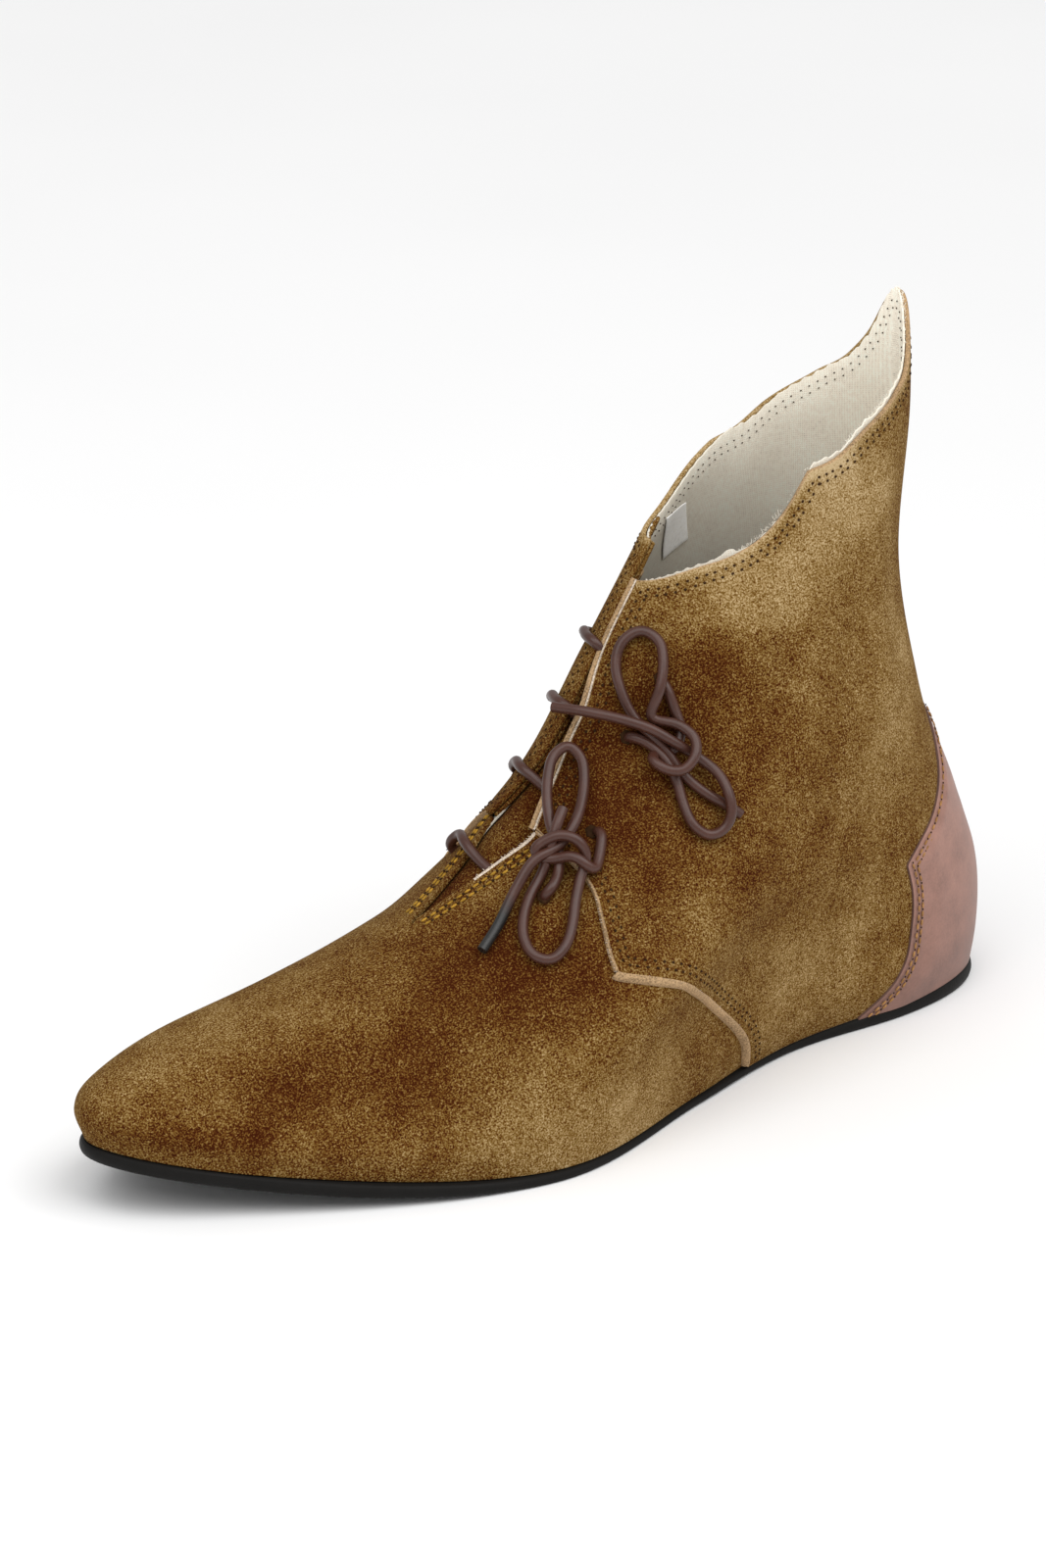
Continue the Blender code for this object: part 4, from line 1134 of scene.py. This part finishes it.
class BOOT_OT_camera(bpy.types.Operator):
    """Set the camera at the photograph's viewing angle."""

    bl_idname = "boot.camera"
    bl_label = "Camera"

    def execute(self, context):
        turn, rise, roll = (math.radians(value) for value in (CAMERA_TURN, CAMERA_RISE, CAMERA_ROLL))
        back = Vector((math.sin(turn) * math.cos(rise), math.cos(turn) * math.cos(rise), math.sin(rise)))
        right = Vector((-math.cos(turn), math.sin(turn), 0.0))
        up = back.cross(right)
        across = right * math.cos(roll) + up * math.sin(roll)
        upward = up * math.cos(roll) - right * math.sin(roll)
        data = bpy.data.cameras.new("photo_camera")
        data.sensor_width = SENSOR
        data.lens = PIXELS_PER_MM * CAMERA_DISTANCE / PHOTO_HEIGHT * SENSOR
        data.shift_x = (PHOTO_WIDTH / 2 - TARGET_PIXEL[0]) / PHOTO_HEIGHT
        data.shift_y = (TARGET_PIXEL[1] - PHOTO_HEIGHT / 2) / PHOTO_HEIGHT
        camera = bpy.data.objects.new("photo_camera", data)
        place = Vector(to_row(TARGET)) + back * CAMERA_DISTANCE * MM
        turned = Matrix((across, upward, back)).transposed().to_4x4()
        camera.matrix_world = Matrix.Translation(place) @ turned
        context.scene.collection.objects.link(camera)
        context.scene.camera = camera
        return {"FINISHED"}


class BOOT_OT_laces(bpy.types.Operator):
    """Run the two leather laces through their holes and tie their bows."""

    bl_idname = "boot.laces"
    bl_label = "Laces"

    def execute(self, context):
        width = context.scene.boot_sizes.lace_width
        finish = kept_material("lace_waxed", lace_material, context.scene.boot_colours)
        for number, bow in enumerate(BOWS):
            high, low = bow.holes
            radius = width / MM / 2
            route = bow.first_half + crossing(low, radius) + crossing(high, radius)[::-1] + bow.second_half
            path = to_row(smooth_path(route))
            data = bpy.data.curves.new(f"{bow.name}_lace", "CURVE")
            data.dimensions = "3D"
            data.bevel_depth = width / 2
            data.bevel_resolution = 5
            data.use_fill_caps = True
            data.materials.append(finish)
            spline = data.splines.new("POLY")
            spline.points.add(len(path) - 1)
            spline.points.foreach_set("co", np.hstack([path, np.ones((len(path), 1))]).ravel())
            lace = bpy.data.objects.new(f"{bow.name}_lace", data)
            context.scene.collection.objects.link(lace)
            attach(lace, "root")
            nodes = [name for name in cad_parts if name.startswith(bow.name)]
            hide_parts(*nodes, f"lace_bar_{2 * number + 1}", f"lace_bar_{2 * number + 2}")
            exit_hole = (low, high)[number]
            leaves = surface(exit_hole.outer_share * np.pi, exit_hole.outer_level, OUTER)
        return {"FINISHED"}


class BOOT_OT_vamp(bpy.types.Operator):
    """Make the suede vamp, slit open at the throat."""

    bl_idname = "boot.vamp"
    bl_label = "Vamp"

    def execute(self, context):
        sizes, finishes = context.scene.boot_sizes, suede_finishes(context.scene.boot_colours)
        mesh = bmesh.new()
        tuck = 0.10
        for side in SIDES:
            def shape(share, rise, side=side):
                level = rise * LIP_LEVEL
                start = quarter_front(level, side) - tuck
                angle = start + (front_angle(level, side) - start) * share
                return suede(angle, level, side, 0.0)
            lay_grid(mesh, GRIDS["vamp"], shape, side)
        weld(mesh)
        piece = add_piece(mesh_data("vamp", mesh), finishes[:1] * 2)
        thicken(piece, sizes.suede_thick, sizes.edge_round)
        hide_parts("upper")
        mesh = bmesh.new()
        angle, level = lip_edge(OUTER)
        half = len(level) // 2
        ahead = np.array([0.0, -1.0, 0.0])
        for part, finish in ((slice(half + 1), 0), (slice(half, None), 2)):
            lay_ribbon(mesh, (angle[part], level[part]), OUTER, ahead, LIP_PROFILE, finish)
        add_piece(mesh_data("lip_cut_edge", mesh), finishes)
        return {"FINISHED"}


class BOOT_OT_quarters(bpy.types.Operator):
    """Make the two suede quarters, and the facings behind their front edges."""

    bl_idname = "boot.quarters"
    bl_label = "Quarters"

    def execute(self, context):
        sizes, finishes = context.scene.boot_sizes, suede_finishes(context.scene.boot_colours)
        for side, name in zip(SIDES, ("outer", "inner")):
            def quarter(share, rise, side=side):
                level = shaft_levels(share, rise, side)
                angle = share * quarter_front(level, side)
                return suede(angle, level, side, quarter_lift(angle))

            def rubbed(share, rise, side=side):
                level = shaft_levels(share, rise, side)
                below = (collar_level(share, side) - level) * COLLAR_RISE
                return RUBBED_TONE * np.exp(-(below / RUBBED_WIDTH) ** 2)

            mesh = bmesh.new()
            lay_grid(mesh, GRIDS["quarter"], quarter, side, rubbed)
            rim = finishes if side == OUTER else finishes[:1] * 2
            piece = add_piece(mesh_data(f"{name}_quarter", mesh), rim)
            thicken(piece, sizes.suede_thick, sizes.edge_round)
            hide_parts("upper")

            mesh = bmesh.new()
            angle, level = seam_edge(side)
            tip = np.argmax(surface(angle, level, side)[:, 0]) + 1
            forward = np.array([0.7, 0.0, -0.7])
            lay_ribbon(mesh, (angle[:tip], level[:tip]), side, forward, SEAM_PROFILE, 1)
            lay_ribbon(mesh, (angle[tip:], level[tip:]), side, forward, TIP_PROFILE, 1)
            if side == OUTER:
                ahead = np.array([0.0, -1.0, 0.0])
                lay_ribbon(mesh, front_edge(side), side, ahead, FRONT_PROFILE, 2)
                lay_ribbon(mesh, front_edge(side), side, ahead, FACING_PROFILE, 1)
            add_piece(mesh_data(f"{name}_cut_edges", mesh), finishes)

            def facing(share, rise, side=side):
                low, high = LIP_LEVEL + FACING_INSET, float(collar_level(1.0, side)) - FACING_INSET / 2
                level = low + (high - low) * rise
                edge = front_angle(level, side)
                speed = np.linalg.norm(tangents(edge - FACING_ANGLE, level, side)[0], axis=-1)
                angle = edge - sizes.facing_width / MM / speed * (1 - share)
                return suede(angle, level, side, FACING_LIFT)

            mesh = bmesh.new()
            lay_grid(mesh, GRIDS["facing"], facing, side)
            piece = add_piece(mesh_data(f"{name}_facing", mesh), rim)
            thicken(piece, sizes.suede_thick, sizes.edge_round)
        return {"FINISHED"}


class BOOT_OT_lining(bpy.types.Operator):
    """Line the quarters with canvas, and sew a bare label inside."""

    bl_idname = "boot.lining"
    bl_label = "Lining"

    def execute(self, context):
        sizes, colours = context.scene.boot_sizes, context.scene.boot_colours
        canvas = kept_material("lining_canvas", canvas_material, colours.canvas)
        mesh = bmesh.new()
        for side in SIDES:
            def shape(share, rise, side=side):
                top = collar_level(share, side) + lining_edge(share, side) / COLLAR_RISE
                level = LINING_FOOT_LEVEL + (top - LINING_FOOT_LEVEL) * rise
                front = quarter_front(np.maximum(level, LIP_LEVEL), side)
                angle = share * np.minimum(front, LINING_FRONT * np.pi)
                return suede(angle, level, side, lining_lift(angle, (top - level) * COLLAR_RISE))
            lay_grid(mesh, GRIDS["lining"], shape, side)
        weld(mesh)
        piece = add_piece(mesh_data("lining", mesh), [canvas, canvas])
        thicken(piece, sizes.lining_thick, LINING_ROUND * MM)

        cotton = kept_material("label_cotton", canvas_material, colours.label)

        def label(share, rise):
            corners = np.array(LABEL_CORNERS)
            low = corners[0] + (corners[1] - corners[0]) * share[:, None]
            high = corners[2] + (corners[3] - corners[2]) * share[:, None]
            place = low + (high - low) * rise[:, None]
            angle = place[:, 0] * quarter_front(place[:, 1], INNER)
            below = (collar_level(place[:, 0], INNER) - place[:, 1]) * COLLAR_RISE
            return suede(angle, place[:, 1], INNER, lining_lift(angle, below) + LABEL_LIFT)

        mesh = bmesh.new()
        lay_grid(mesh, GRIDS["label"], label, INNER)
        piece = add_piece(mesh_data("bare_label", mesh), [cotton, cotton])
        thicken(piece, LABEL_THICK * MM, LABEL_ROUND * MM)
        return {"FINISHED"}


class BOOT_OT_tongue(bpy.types.Operator):
    """Make the suede tongue under the slit."""

    bl_idname = "boot.tongue"
    bl_label = "Tongue"

    def execute(self, context):
        sizes, finishes = context.scene.boot_sizes, suede_finishes(context.scene.boot_colours)
        mesh = bmesh.new()

        # Painted shade, darker at the tongue's foot and towards its sides, where it lies in shadow under the
        # slit
        def tongue_shade(share, rise):
            foot = 1 - ease((rise - TONGUE_SHADE_FROM) / (TONGUE_SHADE_TO - TONGUE_SHADE_FROM))
            return TONGUE_SHADE_FOOT * foot + TONGUE_SHADE_SIDE * (1 - share)

        for side in SIDES:
            def shape(share, rise, side=side):
                level = TONGUE_FOOT_LEVEL + (TONGUE_TOP_LEVEL - TONGUE_FOOT_LEVEL) * rise
                step = TONGUE_NUDGE * np.pi
                reach = surface(np.pi - step, level, side) - surface(np.pi, level, side)
                speed = np.linalg.norm(reach, axis=-1) / step
                angle = np.pi - TONGUE_SIDE[side] / speed * (1 - share)
                room = ease((level - TONGUE_FOOT_LEVEL) / (SLIT_FOOT_LEVEL - TONGUE_FOOT_LEVEL))
                room = room * ease((1 - share) / LACE_ROOM_SHARE * (side == OUTER))
                depth = TONGUE_FOOT_DEPTH + (TONGUE_DEPTH - TONGUE_FOOT_DEPTH) * room
                return offset_surface(angle, level, side, -depth)
            lay_grid(mesh, GRIDS["tongue"], shape, side, tongue_shade)
        weld(mesh)
        piece = add_piece(mesh_data("tongue_panel", mesh), finishes)
        thicken(piece, TONGUE_THICK * MM, sizes.edge_round)
        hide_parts("tongue")
        return {"FINISHED"}


class BOOT_OT_counter(bpy.types.Operator):
    """Make the leather heel counter."""

    bl_idname = "boot.counter"
    bl_label = "Heel counter"

    def execute(self, context):
        base = context.scene.boot_colours.counter
        leather = kept_material("counter_smooth", leather_material, base)
        edge = kept_material("counter_edge", leather_material, shaded(base, 0.4))
        mesh = bmesh.new()
        for side in SIDES:
            def shape(share, rise, side=side):
                level = COUNTER_TIP_LEVEL * rise
                angle = COUNTER_ANGLE[side](level) * share
                full = ease((1 - share) / SKIVED_SHARE) * ease((1 - rise) / SKIVED_SHARE)
                lift = SKIVED_LIFT + (COUNTER_CLEAR + COUNTER_THICK - SKIVED_LIFT) * full
                return suede(angle, level, side, quarter_lift(angle) + lift)
            lay_grid(mesh, GRIDS["counter"], shape, side)
        weld(mesh)
        piece = add_piece(mesh_data("heel_counter_leather", mesh), [leather, edge])
        thicken(piece, COUNTER_THICK * MM, COUNTER_ROUND * MM)
        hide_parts("heel_counter")
        return {"FINISHED"}


def sole_outline(angle, side, outset):
    """The sole's edge seen from above, moved outwards."""
    along = side * (surface(angle + NUDGE, 0.0, side) - surface(angle - NUDGE, 0.0, side))
    out = unit(np.stack([-along[:, 1], along[:, 0], np.zeros(len(along))], axis=-1))
    feather = surface(angle, 0.0, side)
    return feather + out * (SOLE_PROUD(feather[:, 0]) + outset)[:, None]


class BOOT_OT_sole(bpy.types.Operator):
    """Make the thin rubber sole, and finish the insole."""

    bl_idname = "boot.sole"
    bl_label = "Sole"

    def execute(self, context):
        colours = context.scene.boot_colours
        rubber = kept_material("sole_rubber_scuffed", rubber_material, colours)
        profile = Curve(SOLE_EDGE)
        mesh = bmesh.new()
        for side in SIDES:
            def band(share, rise, side=side):
                point = sole_outline(share * np.pi, side, profile(1 - rise))
                low, high = floor_clearance(point[:, 0]), sole_top(point[:, 0])
                point[:, 2] = low + (high - low) * rise
                return point

            lay_grid(mesh, GRIDS["sole_edge"], band, side)
        for height, outset, side in ((floor_clearance, profile(1.0), INNER), (sole_top, profile(0.0), OUTER)):
            def cap(share, rise, height=height, outset=outset):
                angle = rise * np.pi
                one = sole_outline(angle, INNER, outset)
                two = sole_outline(angle, OUTER, outset)
                point = one + (two - one) * share[:, None]
                point[:, 2] = height(point[:, 0])
                return point

            lay_grid(mesh, GRIDS["sole_face"], cap, side)
        weld(mesh, SOLE_WELD)
        bmesh.ops.recalc_face_normals(mesh, faces=mesh.faces)
        piece = add_piece(mesh_data("rubber_sole", mesh), [rubber])
        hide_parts("outsole")
        sock = kept_material("sock_canvas", canvas_material, shaded(colours.canvas, 0.8))
        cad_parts["insole"].data.materials.clear()
        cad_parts["insole"].data.materials.append(sock)
        return {"FINISHED"}


class BOOT_OT_stitches(bpy.types.Operator):
    """Sew the rows of stitches along the edges of the panels."""

    bl_idname = "boot.stitches"
    bl_label = "Stitches"

    def execute(self, context):
        sizes, colours = context.scene.boot_sizes, context.scene.boot_colours
        rows = (sizes.first_row / MM, sizes.second_row / MM)
        pitch = sizes.stitch_pitch / MM
        holes, threads = [], {"lip": [], "counter": []}
        for side in SIDES:
            sideways, down = np.array([0.0, side, 0.0]), np.array([0.0, 0.0, -1.0])
            behind, below = np.array([-0.7, 0.0, 0.7]), np.array([-0.8, 0.0, -0.6])
            collar, front, seam = collar_edge(side), front_edge(side), seam_edge(side)
            quarter = (collar, front, seam)
            seams = [("quarter", collar, down, quarter), ("quarter", front, sideways, quarter),
                     ("quarter", seam, behind, quarter), ("lining", collar, down, ()),
                     ("lip", lip_edge(side), sideways, ()), ("counter", counter_edge(side), below, ())]
            for inset in rows:
                for panel, edge, towards, neighbours in seams:
                    kind = SEWING[panel]
                    places = stitch_places(panel, edge, side, inset - kind.nearer, towards, pitch, neighbours)
                    holes.append(sew(places, kind.hole, pitch / 2 if kind.stitch else 0.0))
                    if kind.stitch:
                        share, width, height = kind.stitch
                        threads[panel].append(sew(places, (pitch * share, width, height)))
            # Dark grains at the lace holes: painted shade of the open hole and of the shadow beside each lace
            for hole in HOLES:
                share, level = hole[:2] if side == OUTER else hole[2:4]
                angle, level = np.array([share * np.pi]), np.array([level])
                around = unit(tangents(angle, level, side)[0])
                spot = suede(angle, level, side, quarter_lift(angle)) + hole.shows * around
                holes.append(sew((spot, around, normals(angle, level, side)), LACE_HOLE))
        pieces = (("stitch_holes", holes, "stitch_holes", colours.stitch_hole),
                  ("lip_stitches", threads["lip"], "gold_thread", colours.gold_thread),
                  ("counter_stitches", threads["counter"], "tan_thread", colours.tan_thread))
        for name, batches, thread, base in pieces:
            add_piece(grains_mesh(name, batches), [kept_material(thread, thread_material, base)])
        return {"FINISHED"}


class BOOT_OT_frays(bpy.types.Operator):
    """Fray the cut edges of the lining and the suede with loose fibres."""

    bl_idname = "boot.frays"
    bl_label = "Frays"

    def execute(self, context):
        colours = context.scene.boot_colours
        canvas = kept_material("lining_canvas", canvas_material, colours.canvas)
        raw = suede_finishes(colours)[2]
        chance = np.random.default_rng(FRAY_SEED)
        edges = {"collar": collar_edge, "lip": lip_edge, "seam": seam_edge, "front": front_edge}
        batches = {"collar": [], "suede": []}
        for fray in FRAYS:
            angle, level = edges[fray.edge](OUTER)
            picks = (chance.uniform(fray.start, fray.end, fray.count) * (len(angle) - 1)).astype(int)
            angle, level = angle[picks], level[picks]
            along, upward = (unit(way) for way in tangents(angle, level, OUTER))
            up = normals(angle, level, OUTER)
            out = upward if fray.edge == "collar" else along
            lean = chance.normal(0.0, FRAY_LEAN, (2, fray.count, 1))
            ways = unit(out + along * lean[0] + up * lean[1] + upward * FRAY_RISE)
            lengths = fray.length * chance.uniform(*FRAY_LENGTHS, (fray.count, 1))
            places = suede(angle, level, OUTER, FRAY_LIFT[fray.edge]) + ways * lengths * FRAY_OUT
            fibres = sew((places, ways, up), (lengths, FRAY_WIDTH, FRAY_WIDTH))
            batches["collar" if fray.edge == "collar" else "suede"].append(fibres)
        for name, finish in (("collar", canvas), ("suede", raw)):
            add_piece(grains_mesh(f"{name}_fibres", batches[name]), [finish])
        return {"FINISHED"}


class BOOT_OT_stage(bpy.types.Operator):
    """Set the pale floor and the soft studio light."""

    bl_idname = "boot.stage"
    bl_label = "Stage"

    def execute(self, context):
        scene = context.scene
        mesh = bmesh.new()
        bmesh.ops.create_grid(mesh, x_segments=1, y_segments=1, size=FLOOR_SIZE)
        data = mesh_data("studio_floor", mesh)
        finish, tree, shader, where = new_material("studio_floor")
        base = scene.boot_colours.floor
        stops = [(0.3, base), (0.7, shaded(base, 1.02))]
        fill(tree, shader, {"Base Color": ramp(tree, noise(tree, where, 3.0), stops), "Roughness": 0.9})
        data.materials.append(finish)
        floor = bpy.data.objects.new("studio_floor", data)
        scene.collection.objects.link(floor)
        for lamp in LAMPS:
            data = bpy.data.lights.new(lamp.name, lamp.kind)
            data.energy = lamp.power
            if lamp.kind == "SUN":
                data.angle = math.radians(lamp.spread)
            else:
                data.size = lamp.spread
            light = bpy.data.objects.new(lamp.name, data)
            light.location = lamp.place
            back = Vector(lamp.place) - Vector(LIT_PLACE)
            light.rotation_euler = back.to_track_quat("Z", "Y").to_euler()
            scene.collection.objects.link(light)
        world = bpy.data.worlds.new("studio")
        world.use_nodes = True
        background = world.node_tree.nodes["Background"]
        fill(world.node_tree, background, {"Color": (1.0, 1.0, 1.0, 1.0), "Strength": SKY_STRENGTH})
        scene.world = world
        scene.view_settings.view_transform = "Standard"
        return {"FINISHED"}


class BOOT_PT_sidebar(bpy.types.Panel):
    """Lists the boot's steps, sizes and colours."""

    bl_idname = "BOOT_PT_sidebar"
    bl_label = "Ankle boot"
    bl_space_type = "VIEW_3D"
    bl_region_type = "UI"
    bl_category = "Boot"

    def draw(self, context):
        for operator in OPERATORS:
            self.layout.operator(operator.bl_idname)
        for group in (context.scene.boot_sizes, context.scene.boot_colours):
            for name in group.__annotations__:
                self.layout.prop(group, name)


OPERATORS = (BOOT_OT_camera, BOOT_OT_laces, BOOT_OT_vamp, BOOT_OT_quarters, BOOT_OT_lining, BOOT_OT_tongue,
             BOOT_OT_counter, BOOT_OT_sole, BOOT_OT_stitches, BOOT_OT_frays, BOOT_OT_stage)
CLASSES = (BootSizes, BootColours, *OPERATORS, BOOT_PT_sidebar)


def register():
    """Add the classes and the scene's sizes and colours."""
    for kind in CLASSES:
        bpy.utils.register_class(kind)
    bpy.types.Scene.boot_sizes = bpy.props.PointerProperty(type=BootSizes)
    bpy.types.Scene.boot_colours = bpy.props.PointerProperty(type=BootColours)


def unregister():
    """Take out what register added."""
    del bpy.types.Scene.boot_colours
    del bpy.types.Scene.boot_sizes
    for kind in reversed(CLASSES):
        bpy.utils.unregister_class(kind)


def main():
    """Dress the boot step by step."""
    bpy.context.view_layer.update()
    register()
    bpy.ops.boot.camera()
    bpy.ops.boot.laces()
    bpy.ops.boot.vamp()
    bpy.ops.boot.quarters()
    bpy.ops.boot.lining()
    bpy.ops.boot.tongue()
    bpy.ops.boot.counter()
    bpy.ops.boot.sole()
    bpy.ops.boot.stitches()
    bpy.ops.boot.frays()
    bpy.ops.boot.stage()


if __name__ == "__main__":
    main()
